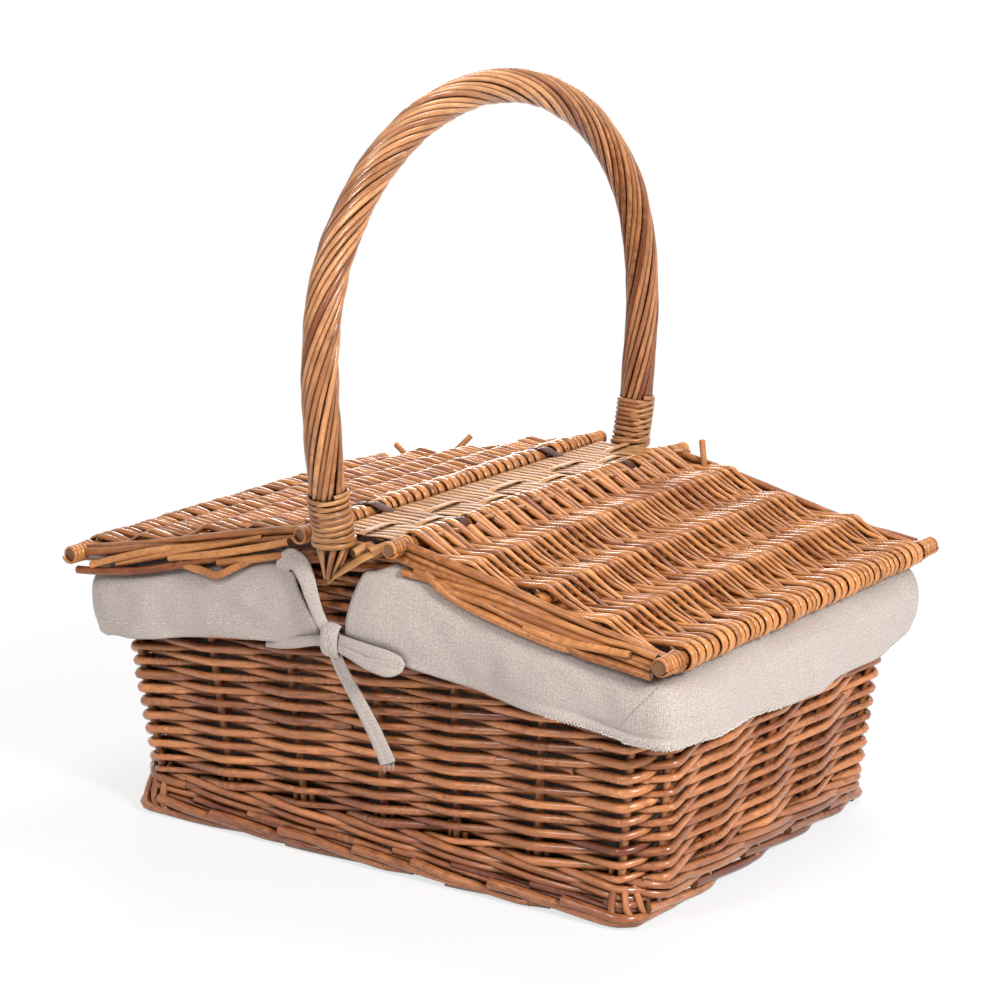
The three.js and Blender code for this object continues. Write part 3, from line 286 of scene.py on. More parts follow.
class Bundle:
    """Rods and strips gathered into one mesh. Each keeps its length and way round as a UV map, its tone and
    the places where it is cut."""

    def __init__(self):
        self.points, self.loops, self.sizes, self.uvs = [], [], [], []
        self.tones, self.cuts, self.flat = [], [], []
        self.count = 0

    def keep(self, points, tone, cut):
        """Keeps points with their tone and cut, and gives the number of the first."""
        first = self.count
        self.points.append(points)
        self.tones.append(np.full(len(points), tone) if np.isscalar(tone) else tone)
        self.cuts.append(np.full(len(points), cut))
        self.count += len(points)
        return first

    def strand(self, path, wide, thick=None, ref=(0, 0, 1), sides=6, tone=0.5, ends=True):
        """A rod along path. wide is its half-width across ref and thick its half-thickness along ref."""
        path = np.asarray(path, float)
        n = len(path)
        wide = np.broadcast_to(np.asarray(wide, float), n)
        thick = wide if thick is None else np.broadcast_to(np.asarray(thick, float), n)
        tangent = unit(np.gradient(path, axis=0))
        side = unit(np.cross(tangent, np.broadcast_to(np.asarray(ref, float), (n, 3))))
        up = np.cross(side, tangent)
        turn = 2 * math.pi * np.arange(sides) / sides
        ring = (path[:, None] + side[:, None] * (wide[:, None] * np.cos(turn))[..., None]
                + up[:, None] * (thick[:, None] * np.sin(turn))[..., None])
        tone = np.broadcast_to(np.asarray(tone, float), n)
        first = self.keep(ring.reshape(-1, 3), np.repeat(tone, sides), 0.0)
        run = run_along(path) * MM
        i, k = np.arange(n - 1)[:, None], np.arange(sides)[None]
        after = (k + 1) % sides
        quads = np.stack([i * sides + k, (i + 1) * sides + k, (i + 1) * sides + after, i * sides + after],
                         axis=-1)
        self.loops.append((quads + first).reshape(-1))
        self.sizes.append(np.full((n - 1) * sides, 4))
        self.flat.append(np.zeros((n - 1) * sides, bool))
        u0, u1, v0, v1 = np.broadcast_arrays(run[:-1, None], run[1:, None], k / sides, (k + 1) / sides)
        uv = np.stack([np.stack(corner, -1) for corner in ((u0, v0), (u1, v0), (u1, v1), (u0, v1))], axis=2)
        self.uvs.append(uv.reshape(-1, 2))
        if ends:
            for at, way in ((0, 1), (n - 1, -1)):
                lid = self.keep(ring[at], float(tone[at]), 1.0)
                self.loops.append(lid + np.arange(sides)[::way])
                self.sizes.append(np.array([sides]))
                self.flat.append(np.ones(1, bool))
                spot = np.stack([0.5 * np.cos(turn), 0.5 * np.sin(turn)], axis=1)[::way] * 0.004
                self.uvs.append(spot)

    def build(self, name):
        """Makes the mesh of all the rods kept so far."""
        mesh = bpy.data.meshes.new(name)
        points = np.concatenate(self.points) * MM
        loops, sizes = np.concatenate(self.loops), np.concatenate(self.sizes)
        mesh.vertices.add(len(points))
        mesh.vertices.foreach_set("co", points.ravel())
        mesh.loops.add(len(loops))
        mesh.loops.foreach_set("vertex_index", loops)
        mesh.polygons.add(len(sizes))
        mesh.polygons.foreach_set("loop_start", np.concatenate([[0], np.cumsum(sizes)[:-1]]))
        mesh.polygons.foreach_set("use_smooth", ~np.concatenate(self.flat))
        mesh.uv_layers.new(name="rod_uv").data.foreach_set("uv", np.concatenate(self.uvs).ravel())
        for key, values in (("tone", self.tones), ("cut", self.cuts)):
            mesh.attributes.new(key, 'FLOAT', 'POINT').data.foreach_set("value", np.concatenate(values))
        mesh.update(calc_edges=True)
        mesh.validate()
        return link_piece(name, mesh)


def cloth_grid(name, grid):
    """A sheet of cloth from a grid of points, columns first, with a UV map in metres of cloth."""
    grid = np.asarray(grid, float)
    n, m = grid.shape[:2]
    mesh = bpy.data.meshes.new(name)
    i, k = np.arange(n - 1)[:, None] * m, np.arange(m - 1)[None]
    quads = np.stack([i + k, i + m + k, i + m + k + 1, i + k + 1], axis=-1).reshape(-1, 4)
    mesh.from_pydata((grid.reshape(-1, 3) * MM).tolist(), [], quads.tolist())
    steps_across = np.linalg.norm(np.diff(grid, axis=0), axis=2)
    steps_down = np.linalg.norm(np.diff(grid, axis=1), axis=2)
    across = np.concatenate([np.zeros((1, m)), np.cumsum(steps_across, axis=0)])
    down = np.concatenate([np.zeros((n, 1)), np.cumsum(steps_down, axis=1)], axis=1)
    across = np.broadcast_to(across.mean(axis=1, keepdims=True), (n, m))
    uv = np.stack([across, down], axis=-1).reshape(-1, 2) * MM
    layer = mesh.uv_layers.new(name="cloth_uv")
    layer.data.foreach_set("uv", uv[quads.reshape(-1)].ravel())
    mesh.polygons.foreach_set("use_smooth", np.ones(len(quads), bool))
    mesh.update(calc_edges=True)
    return link_piece(name, mesh)


def apply_modifier(piece, kind, **settings):
    """Adds a modifier with its settings and applies it."""
    bpy.ops.object.select_all(action='DESELECT')
    piece.select_set(True)
    bpy.context.view_layer.objects.active = piece
    bpy.ops.object.modifier_add(type=kind)
    modifier = piece.modifiers[-1]
    for key, value in settings.items():
        setattr(modifier, key, value)
    bpy.ops.object.modifier_apply(modifier=modifier.name)
    piece.select_set(False)


def place_piece(piece, body, material, nodes=()):
    """Gives a piece its finish, the body it rides on and the frame's nodes that it stands for."""
    piece.data.materials.clear()
    piece.data.materials.append(material)
    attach(piece, body)
    if nodes:
        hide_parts(*nodes)
    return piece


# Materials

def add_node(tree, kind, inputs=None, **settings):
    """Adds a node to a tree, sets its settings, and sets or links its inputs."""
    made = tree.nodes.new(kind)
    for key, value in settings.items():
        setattr(made, key, value)
    for key, value in (inputs or {}).items():
        socket = made.inputs[key]
        if isinstance(value, bpy.types.NodeSocket):
            tree.links.new(value, socket)
        else:
            socket.default_value = value
    return made


def new_material(name):
    """A material and its empty node tree, or None for the tree where the material is already made."""
    material = bpy.data.materials.get(name)
    if material:
        return material, None
    material = bpy.data.materials.new(name)
    material.use_nodes = True
    material.node_tree.nodes.clear()
    return material, material.node_tree


def rgba(colour, share=1.0):
    """A colour, or a share of it, as a node takes it."""
    return (*(share * part for part in colour), 1.0)


def willow(name, dark, light, cut_end, roughness, coat, painted_shade=(0.2, 0.85, 0.22)):
    """Varnished willow rods: bark that runs from dark to light along and between rods, with fine lengthwise
    grain, round leaf scars, pith where a rod is cut, a thin glossy coat and painted shade where rods touch.
    The painted shade has three shares: how open a spot is where it is darkest, how open where it is clear,
    and what is left of the colour."""
    material, tree = new_material(name)
    if tree is None:
        return material
    tone_share = streak_share = 0.8
    painted_shade_from, painted_shade_to, darkest = painted_shade
    place = add_node(tree, "ShaderNodeUVMap", uv_map="rod_uv").outputs["UV"]
    tone = add_node(tree, "ShaderNodeAttribute", attribute_name="tone").outputs["Fac"]
    cut = add_node(tree, "ShaderNodeAttribute", attribute_name="cut").outputs["Fac"]
    parts = add_node(tree, "ShaderNodeSeparateXYZ", {0: place})
    spot = add_node(tree, "ShaderNodeCombineXYZ",
                    {0: parts.outputs[0], 1: parts.outputs[1], 2: tone}).outputs[0]

    # Colour streaks about 40 mm long, grain about 9 mm long and a rod's ninth wide, leaf scars every 34 mm
    def pattern(along_mm, around, kind, **inputs):
        """A texture stretched along the rod, with its size along it and its repeats round it."""
        scaled = add_node(tree, "ShaderNodeVectorMath", {0: spot, 1: (1000 / along_mm, around, 41)},
                          operation='MULTIPLY').outputs[0]
        return add_node(tree, kind, {"Vector": scaled, "Scale": 1.0, **inputs})

    streak = pattern(40, 2.2, "ShaderNodeTexNoise", Detail=3.0).outputs[0]
    grain = pattern(9, 9, "ShaderNodeTexNoise", Detail=2.0).outputs[0]
    scar = pattern(34, 1.1, "ShaderNodeTexVoronoi", Randomness=1.0).outputs["Distance"]
    shade = add_node(tree, "ShaderNodeMath", {0: streak, 1: streak_share, 2: -0.5 * streak_share},
                     operation='MULTIPLY_ADD').outputs[0]
    shade = add_node(tree, "ShaderNodeMath", {0: tone, 1: tone_share, 2: shade},
                     operation='MULTIPLY_ADD').outputs[0]
    body = add_node(tree, "ShaderNodeMixRGB", {0: shade, 1: rgba(dark), 2: rgba(light)},
                    use_clamp=True).outputs[0]
    grain_tone = add_node(tree, "ShaderNodeMapRange", {0: grain, 1: 0.3, 2: 0.7, 3: 0.72, 4: 1.12}).outputs[0]
    body = add_node(tree, "ShaderNodeMixRGB", {0: 1.0, 1: body, 2: grain_tone},
                    blend_type='MULTIPLY').outputs[0]
    scar_share = add_node(tree, "ShaderNodeMapRange", {0: scar, 1: 0.05, 2: 0.10, 3: 0.75, 4: 0.0}).outputs[0]
    body = add_node(tree, "ShaderNodeMixRGB", {0: scar_share, 1: body, 2: rgba(dark, 0.3)}).outputs[0]
    pith = add_node(tree, "ShaderNodeMixRGB", {0: grain, 1: rgba(cut_end, 0.55), 2: rgba(cut_end)}).outputs[0]
    body = add_node(tree, "ShaderNodeMixRGB", {0: cut, 1: body, 2: pith}).outputs[0]
    # Painted shade: the colour is darkened within 6 mm of where rods touch, as shade falls there
    near = add_node(tree, "ShaderNodeAmbientOcclusion", {"Distance": 6 * MM}, samples=6).outputs["AO"]
    gather = add_node(tree, "ShaderNodeMapRange",
                      {0: near, 1: painted_shade_from, 2: painted_shade_to, 3: darkest, 4: 1.0}).outputs[0]
    body = add_node(tree, "ShaderNodeMixRGB", {0: 1.0, 1: body, 2: gather}, blend_type='MULTIPLY').outputs[0]
    rough = add_node(tree, "ShaderNodeMapRange",
                     {0: streak, 1: 0.3, 2: 0.7, 3: roughness - 0.07, 4: roughness + 0.1}).outputs[0]
    height = add_node(tree, "ShaderNodeMath", {0: scar_share, 1: 0.8, 2: grain},
                      operation='MULTIPLY_ADD').outputs[0]
    bump = add_node(tree, "ShaderNodeBump",
                    {"Strength": 0.35, "Distance": 0.6 * MM, "Height": height}).outputs[0]
    shader = add_node(tree, "ShaderNodeBsdfPrincipled",
                      {"Base Color": body, "Roughness": rough, "Normal": bump, "Coat Weight": coat,
                       "Coat Roughness": 0.14, "IOR": 1.5, "Specular IOR Level": 0.35})
    add_node(tree, "ShaderNodeOutputMaterial", {0: shader.outputs[0]})
    return material


def linen(name, light, dark):
    """Plain-woven undyed linen: a matt cloth whose threads, drawn 1 mm apart so that they show, cross in both
    ways, with thicker slubs, pale flecks, a faint sheen of loose fibres and painted shade in its folds."""
    material, tree = new_material(name)
    if tree is None:
        return material
    place = add_node(tree, "ShaderNodeUVMap", uv_map="cloth_uv").outputs["UV"]
    thread_mm = 1.0
    wave = 1000 * 2 * math.pi / (20 * thread_mm)
    waves = {"Vector": place, "Scale": wave, "Distortion": 3.0, "Detail": 3.0, "Detail Scale": 1.4}
    warp, weft = (add_node(tree, "ShaderNodeTexWave", waves, bands_direction=way).outputs[1]
                  for way in ('X', 'Y'))
    weave = add_node(tree, "ShaderNodeMath", {0: warp, 1: weft}, operation='MULTIPLY').outputs[0]
    fleck_mm = 1.3
    fleck = add_node(tree, "ShaderNodeTexNoise",
                     {"Vector": place, "Scale": 1000 / fleck_mm, "Detail": 2.0}).outputs[0]
    weave = add_node(tree, "ShaderNodeMath", {0: fleck, 1: 2.4, 2: weave},
                     operation='MULTIPLY_ADD').outputs[0]

    # Slubs about 14 mm long and 1.6 mm wide along each thread
    def slub(along_mm, across_mm):
        """Noise with the size of a thick place in a thread."""
        scaled = add_node(tree, "ShaderNodeVectorMath", {0: place, 1: (1000 / along_mm, 1000 / across_mm, 1)},
                          operation='MULTIPLY').outputs[0]
        return add_node(tree, "ShaderNodeTexNoise",
                        {"Vector": scaled, "Scale": 1.0, "Detail": 2.0}).outputs[0]

    slubs = add_node(tree, "ShaderNodeMath", {0: slub(14, 1.6), 1: slub(1.6, 14)}, operation='ADD').outputs[0]
    slub_share = add_node(tree, "ShaderNodeMapRange",
                          {0: slubs, 1: 0.75, 2: 1.3, 3: -0.38, 4: -0.24}).outputs[0]
    tone = add_node(tree, "ShaderNodeMath", {0: weave, 1: 0.55, 2: slub_share},
                    operation='MULTIPLY_ADD').outputs[0]
    body = add_node(tree, "ShaderNodeMixRGB", {0: tone, 1: rgba(dark), 2: rgba(light)},
                    use_clamp=True).outputs[0]
    # Painted shade: the cloth's colour is darkened where it lies within 30 mm of other things and in its
    # folds
    near = add_node(tree, "ShaderNodeAmbientOcclusion", {"Distance": 30 * MM}, samples=6).outputs["AO"]
    dull = add_node(tree, "ShaderNodeMapRange", {0: near, 1: 0.15, 2: 0.7, 3: 0.25, 4: 1.0}).outputs[0]
    body = add_node(tree, "ShaderNodeMixRGB", {0: 1.0, 1: body, 2: dull}, blend_type='MULTIPLY').outputs[0]
    height = add_node(tree, "ShaderNodeMath", {0: slub_share, 1: 0.5, 2: weave},
                      operation='MULTIPLY_ADD').outputs[0]
    bump = add_node(tree, "ShaderNodeBump",
                    {"Strength": 0.4, "Distance": 0.5 * MM, "Height": height}).outputs[0]
    shader = add_node(tree, "ShaderNodeBsdfPrincipled",
                      {"Base Color": body, "Roughness": 0.92, "Normal": bump, "Sheen Weight": 0.2,
                       "Sheen Roughness": 0.5, "IOR": 1.45})
    add_node(tree, "ShaderNodeOutputMaterial", {0: shader.outputs[0]})
    return material


def leather(name, colour):
    """Dark brown strap leather: a fine pebbled grain, worn lighter on the high spots, with a dull shine."""
    material, tree = new_material(name)
    if tree is None:
        return material
    place = add_node(tree, "ShaderNodeTexCoord").outputs["Object"]
    grain_mm = 1.1
    wear_mm = 50 / 9
    grain = add_node(tree, "ShaderNodeTexVoronoi",
                     {"Vector": place, "Scale": 1000 / grain_mm}).outputs["Distance"]
    wear = add_node(tree, "ShaderNodeTexNoise",
                    {"Vector": place, "Scale": 1000 / wear_mm, "Detail": 3.0}).outputs[0]
    body = add_node(tree, "ShaderNodeMixRGB",
                    {0: wear, 1: rgba(colour, 0.7), 2: rgba(colour, 2.2)}).outputs[0]
    bump = add_node(tree, "ShaderNodeBump",
                    {"Strength": 0.5, "Distance": 0.3 * MM, "Height": grain}).outputs[0]
    shader = add_node(tree, "ShaderNodeBsdfPrincipled",
                      {"Base Color": body, "Roughness": 0.55, "Normal": bump, "IOR": 1.5,
                       "Specular IOR Level": 0.2})
    add_node(tree, "ShaderNodeOutputMaterial", {0: shader.outputs[0]})
    return material


def cotton_thread(name, colour):
    """Spun cotton thread: matt and off-white, with a twist that gives fine bands, and darkened to grey where
    its tone is low, as painted shadow in a seam's crease.
    """
    material, tree = new_material(name)
    if tree is None:
        return material
    place = add_node(tree, "ShaderNodeUVMap", uv_map="rod_uv").outputs["UV"]
    twist_mm = 10 / 9
    bands = add_node(tree, "ShaderNodeVectorMath", {0: place, 1: (1000 / twist_mm, 3, 1)},
                     operation='MULTIPLY').outputs[0]
    twist = add_node(tree, "ShaderNodeTexNoise", {"Vector": bands, "Scale": 1.0, "Detail": 1.0}).outputs[0]
    body = add_node(tree, "ShaderNodeMixRGB", {0: twist, 1: rgba(colour, 0.8), 2: rgba(colour)}).outputs[0]
    # Painted shadow: thread with a low tone, the seam's stitches, is darkened to grey for the shade in the
    # seam's crease
    tone = add_node(tree, "ShaderNodeAttribute", attribute_name="tone").outputs["Fac"]
    shade = add_node(tree, "ShaderNodeMapRange", {0: tone, 1: 0.0, 2: 0.5, 3: 0.12, 4: 1.0}).outputs[0]
    body = add_node(tree, "ShaderNodeMixRGB", {0: 1.0, 1: body, 2: shade}, blend_type='MULTIPLY').outputs[0]
    shader = add_node(tree, "ShaderNodeBsdfPrincipled", {"Base Color": body, "Roughness": 0.9, "IOR": 1.45})
    add_node(tree, "ShaderNodeOutputMaterial", {0: shader.outputs[0]})
    return material


def wall_willow(colours):
    """Willow boiled and varnished in its bark: red brown, with a wet gloss."""
    return willow("varnished_brown_willow", colours.wall_dark, colours.wall_light, colours.cut_end, 0.28, 0.4)


def lid_willow(colours):
    """Thin peeled willow, stained and varnished: golden brown, with less gloss."""
    return willow("varnished_golden_willow", colours.lid_dark, colours.lid_light, colours.cut_end, 0.32, 0.15)


def pale_skein(colours):
    """Willow split and shaved flat: pale and nearly matt."""
    return willow("split_pale_willow", colours.skein_dark, colours.skein_light, colours.cut_end, 0.58, 0.05)


def liner_linen(colours):
    """The undyed linen of the liner and the ties."""
    return linen("undyed_linen", colours.linen, colours.linen_dark)


def handle_willow(colours):
    """Peeled willow on the handle, varnished: light brown, with deep painted shade between the rods."""
    return willow("varnished_handle_willow", colours.handle_dark, colours.handle_light, colours.cut_end,
                  0.3, 0.3, painted_shade=(0.42, 0.93, 0.1))


def binding_skein(colours):
    """Split willow wound on the handle and varnished with it: from dark to pale, with some gloss."""
    return willow("varnished_willow_skein", colours.lid_dark, colours.skein_light, colours.cut_end, 0.4, 0.3)


def seen_directly(tree):
    """1 for rays from the camera and those that gloss and glass pass on, and 0 for the rest."""
    seen = add_node(tree, "ShaderNodeLightPath").outputs
    share = seen["Is Camera Ray"]
    for kind in ("Is Glossy Ray", "Is Transmission Ray"):
        share = add_node(tree, "ShaderNodeMath", {0: share, 1: seen[kind]}, operation='MAXIMUM').outputs[0]
    return share


# Stage and woven pieces

class BASKET_OT_stage(Operator):
    """Sets the camera, the soft lights, the pale floor and the white surroundings"""

    bl_idname = "basket.stage"
    bl_label = "Stage"

    def execute(self, context):
        scene = context.scene
        scene.view_settings.view_transform = 'Standard'
        azimuth, elevation, distance = math.radians(34.63), math.radians(13.59), 1.9
        target = Vector((-0.00264, 0.0, 0.2059))
        back = Vector((math.sin(azimuth) * math.cos(elevation), -math.cos(azimuth) * math.cos(elevation),
                       math.sin(elevation)))
        bpy.ops.object.camera_add(location=target + distance * back)
        camera = context.object
        camera.name = "photo_camera"
        camera.data.sensor_width = 36.0
        camera.data.lens = 106.117
        camera.rotation_euler = (-back).to_track_quat('-Z', 'Y').to_euler()
        scene.camera = camera
        lit = Vector((0, 0, 0.18))
        lamps = (("key", (1.9, -0.7, 1.35), 0.5, 51.0), ("front", (-0.35, -1.8, 1.5), 0.5, 15.0),
                 ("top", (0.15, 0.9, 2.1), 0.7, 20.0), ("back", (-1.25, 1.75, 0.6), 0.8, 24.0))
        for name, spot, size, power in lamps:
            bpy.ops.object.light_add(type='AREA', location=spot)
            lamp = context.object
            lamp.name = name
            lamp.data.size = size
            lamp.data.energy = power
            lamp.rotation_euler = (lit - Vector(spot)).to_track_quat('-Z', 'Y').to_euler()
        self.surroundings(scene)
        self.floor(context)
        return {'FINISHED'}

    @staticmethod
    def surroundings(scene):
        """White to look at, with a soft light of its own on the basket."""
        world = bpy.data.worlds.new("white_studio")
        scene.world = world
        world.use_nodes = True
        tree = world.node_tree
        tree.nodes.clear()
        soft, white = (add_node(tree, "ShaderNodeBackground", {"Color": (1, 1, 1, 1), "Strength": strength})
                       for strength in (0.25, 1.0))
        both = add_node(tree, "ShaderNodeMixShader",
                        {0: seen_directly(tree), 1: soft.outputs[0], 2: white.outputs[0]})
        add_node(tree, "ShaderNodeOutputWorld", {0: both.outputs[0]})

    @staticmethod
    def floor(context):
        """Matt white paper, whiter away from the basket, on which only the basket's shade shows."""
        bpy.ops.object.select_all(action='DESELECT')
        bpy.ops.mesh.primitive_plane_add(size=8.0, location=(0, 0, 0))
        floor = context.object
        floor.name = "studio_floor"
        material, tree = new_material("pale_studio_paper")
        spot = add_node(tree, "ShaderNodeTexCoord").outputs["Object"]
        far = add_node(tree, "ShaderNodeVectorMath", {0: spot}, operation='LENGTH').outputs["Value"]
        whiter = add_node(tree, "ShaderNodeMapRange", {0: far, 1: 0.2, 2: 0.75, 3: 0.72, 4: 1.0}).outputs[0]
        share = add_node(tree, "ShaderNodeMath", {0: seen_directly(tree), 1: whiter},
                         operation='MULTIPLY').outputs[0]
        paper = add_node(tree, "ShaderNodeBsdfDiffuse", {"Color": rgba(context.scene.basket_colours.floor)})
        white = add_node(tree, "ShaderNodeEmission", {"Color": (1, 1, 1, 1), "Strength": 1.0})
        both = add_node(tree, "ShaderNodeMixShader", {0: share, 1: paper.outputs[0], 2: white.outputs[0]})
        add_node(tree, "ShaderNodeOutputMaterial", {0: both.outputs[0]})
        floor.data.materials.append(material)


class BASKET_OT_walls(Operator):
    """Weaves the walls: rods in and out of the stakes, each up by a row at every stake, above two wales"""

    bl_idname = "basket.walls"
    bl_label = "Wall weave"

    # Heights of the wales and the first row, how far below the rim's top the rows end, and how far rods swing
    wales = (18.5, 24.0)
    first_row = 29.0
    rim_depth = 14.3
    row_swing = 5.8
    wale_middle, wale_swing, wale_rise = 3.4, 5.0, 2.4

    def execute(self, context):
        sizes, colours = context.scene.basket_sizes, context.scene.basket_colours
        rng = np.random.default_rng(11)
        weave = Bundle()
        pitch, radius = 1000 * sizes.row_pitch, 500 * sizes.wall_rod
        for start in range(STAKES):
            self.climbing_rod(weave, rng, start, pitch, radius)
        for height in self.wales:
            self.wale(weave, rng, height, radius)
        piece = weave.build("wall_weave")
        place_piece(piece, "basket", wall_willow(colours),
                    ["wall_weave_front", "wall_weave_right", "wall_weave_back", "wall_weave_left"])
        return {'FINISHED'}

    def sway(self, k, row):
        """How far a row stands out at stake count k: in front of one stake and behind the next."""
        t = np.mod(k + row, 2.0)
        swing = sum(np.interp(np.mod(t + shift, 2.0), (0, 0.05, 0.94, 1.06, 1.95, 2), (1, 1, -1, -1, 1, 1))
                    for shift in (-0.02, 0, 0.02)) / 3
        return STAKE_LINE + self.row_swing * swing

    def climbing_rod(self, weave, rng, start, pitch, radius):
        """A line of rods, each spliced to the last, that starts behind a stake and climbs to the rim. It is
        left out where it would pass into the rim."""
        joints = [start - 0.45, start + rng.uniform(9.5, 13.5), start + rng.uniform(21.5, 25.5), start + 35]
        for part in range(3):
            # Rods end a little past their joints, and one in five has an end that goes further
            spare = rng.uniform(0.3, 0.6, 2)
            if rng.random() < 0.2:
                spare[rng.integers(2)] = rng.uniform(1.05, 1.35)
            k = np.linspace(joints[part] - (spare[0] if part else 0), joints[part + 1] + spare[1], 170)
            n = len(k)
            high = self.first_row + pitch * (k - start) + wander(rng, n, 14, 0.5)
            out = self.sway(k, start) + wander(rng, n, 10, 0.4)
            edge = np.minimum(k - k[0], k[-1] - k)
            out -= 1.6 * (1 - ease(0, 0.8, edge)) * np.sign(out - STAKE_LINE)
            points = wall_place(k, high, out)
            thin = np.linspace(1.2, 0.8, n) if (start + part) % 2 else np.linspace(0.8, 1.2, n)
            tone = tones(rng, 0.55, 0.2, n, 12, 0.24)
            size = radius * thin * rng.uniform(0.9, 1.04)
            under = (rim_top(points[:, 0]) - self.rim_depth > high).astype(int)
            turns = np.flatnonzero(np.diff(np.concatenate([[0], under, [0]])))
            for first, last in zip(turns[::2], turns[1::2]):
                if last - first > 6:
                    run = slice(first, last)
                    weave.strand(points[run], size[run], 1.06 * size[run], sides=7, tone=tone[run])

    def wale(self, weave, rng, z, radius):
        """Three rods twisted together along the wall, below the weave."""
        n = STAKES * 7
        for rod in range(3):
            k = np.linspace(0, STAKES + 0.4, n)
            phase = 2 * math.pi * (k + rod) / 3
            out = self.wale_middle + self.wale_swing * np.cos(phase) + wander(rng, n, 12, 0.4)
            high = z - self.wale_rise * np.sin(phase) + wander(rng, n, 12, 0.5)
            points = wall_place(k, high, out)
            weave.strand(points, radius * 1.08, sides=7, tone=tones(rng, 0.42, 0.12, n, 10, 0.2))


class BASKET_OT_stakes(Operator):
    """Stands the 24 stakes in the walls, with short by-stakes at the bottom"""

    bl_idname = "basket.stakes"
    bl_label = "Stakes"

    def execute(self, context):
        rng = np.random.default_rng(12)
        rods = Bundle()
        stake_radius, rim_depth = 2.75, 14
        stake_foot, by_stake_foot, by_stake_top = 5.0, 6.0, 36.0
        for i in range(STAKES):
            top_x = wall_place(i, 150.0, STAKE_LINE)[0]
            high = np.linspace(stake_foot, float(rim_top(top_x)) - rim_depth, 14)
            points = wall_place(np.full(14, float(i)), high, STAKE_LINE)
            rods.strand(points, stake_radius, ref=(1, 0.3, 0), sides=7, tone=rng.uniform(0.5, 0.85))
            for shift in (-1, 1):
                low = np.linspace(by_stake_foot, by_stake_top + rng.uniform(-4, 4), 8)
                reach = shift * rng.uniform(0.09, 0.13)
                points = wall_place(np.full(8, i + reach), low, STAKE_LINE - 0.6)
                rods.strand(points, rng.uniform(1.7, 2.2), ref=(1, 0.3, 0), tone=rng.uniform(0.2, 0.7))
        piece = rods.build("stakes")
        names = [f"stake_{side}_{n}" for side, count in (("front", 7), ("back", 7), ("left", 5), ("right", 5))
                 for n in range(1, count + 1)]
        place_piece(piece, "basket", wall_willow(context.scene.basket_colours), names)
        return {'FINISHED'}


def rounded_ring(run, half_x, half_y, corner):
    """Points and ways out on a rounded oblong, by their run against the clock from the front's left end."""
    straight = [2 * (half_x - corner), 2 * (half_y - corner)] * 2
    arc = math.pi / 2 * corner
    run = np.mod(np.asarray(run, float), sum(straight) + 4 * arc)
    points = np.zeros(run.shape + (2,))
    away = np.zeros(run.shape + (2,))
    start = 0.0
    for side in range(4):
        half, deep = (half_x, half_y) if side % 2 == 0 else (half_y, half_x)
        base = side * math.pi / 2
        length = straight[side]
        on = (run >= start) & (run < start + length)
        bend = (run >= start + length) & (run < start + length + arc)
        angle = np.where(bend, (run - start - length) / corner, 0)
        along = np.where(bend, half - corner + corner * np.sin(angle), run - start - length / 2)
        depth = np.where(bend, deep - corner + corner * np.cos(angle), deep)
        here = on | bend
        c, s = math.cos(base), math.sin(base)
        points[here] = np.stack([c * along + s * depth, s * along - c * depth], -1)[here]
        away[here] = np.stack([np.sin(base + angle), -np.cos(base + angle)], -1)[here]
        start += length + arc
    return points, away


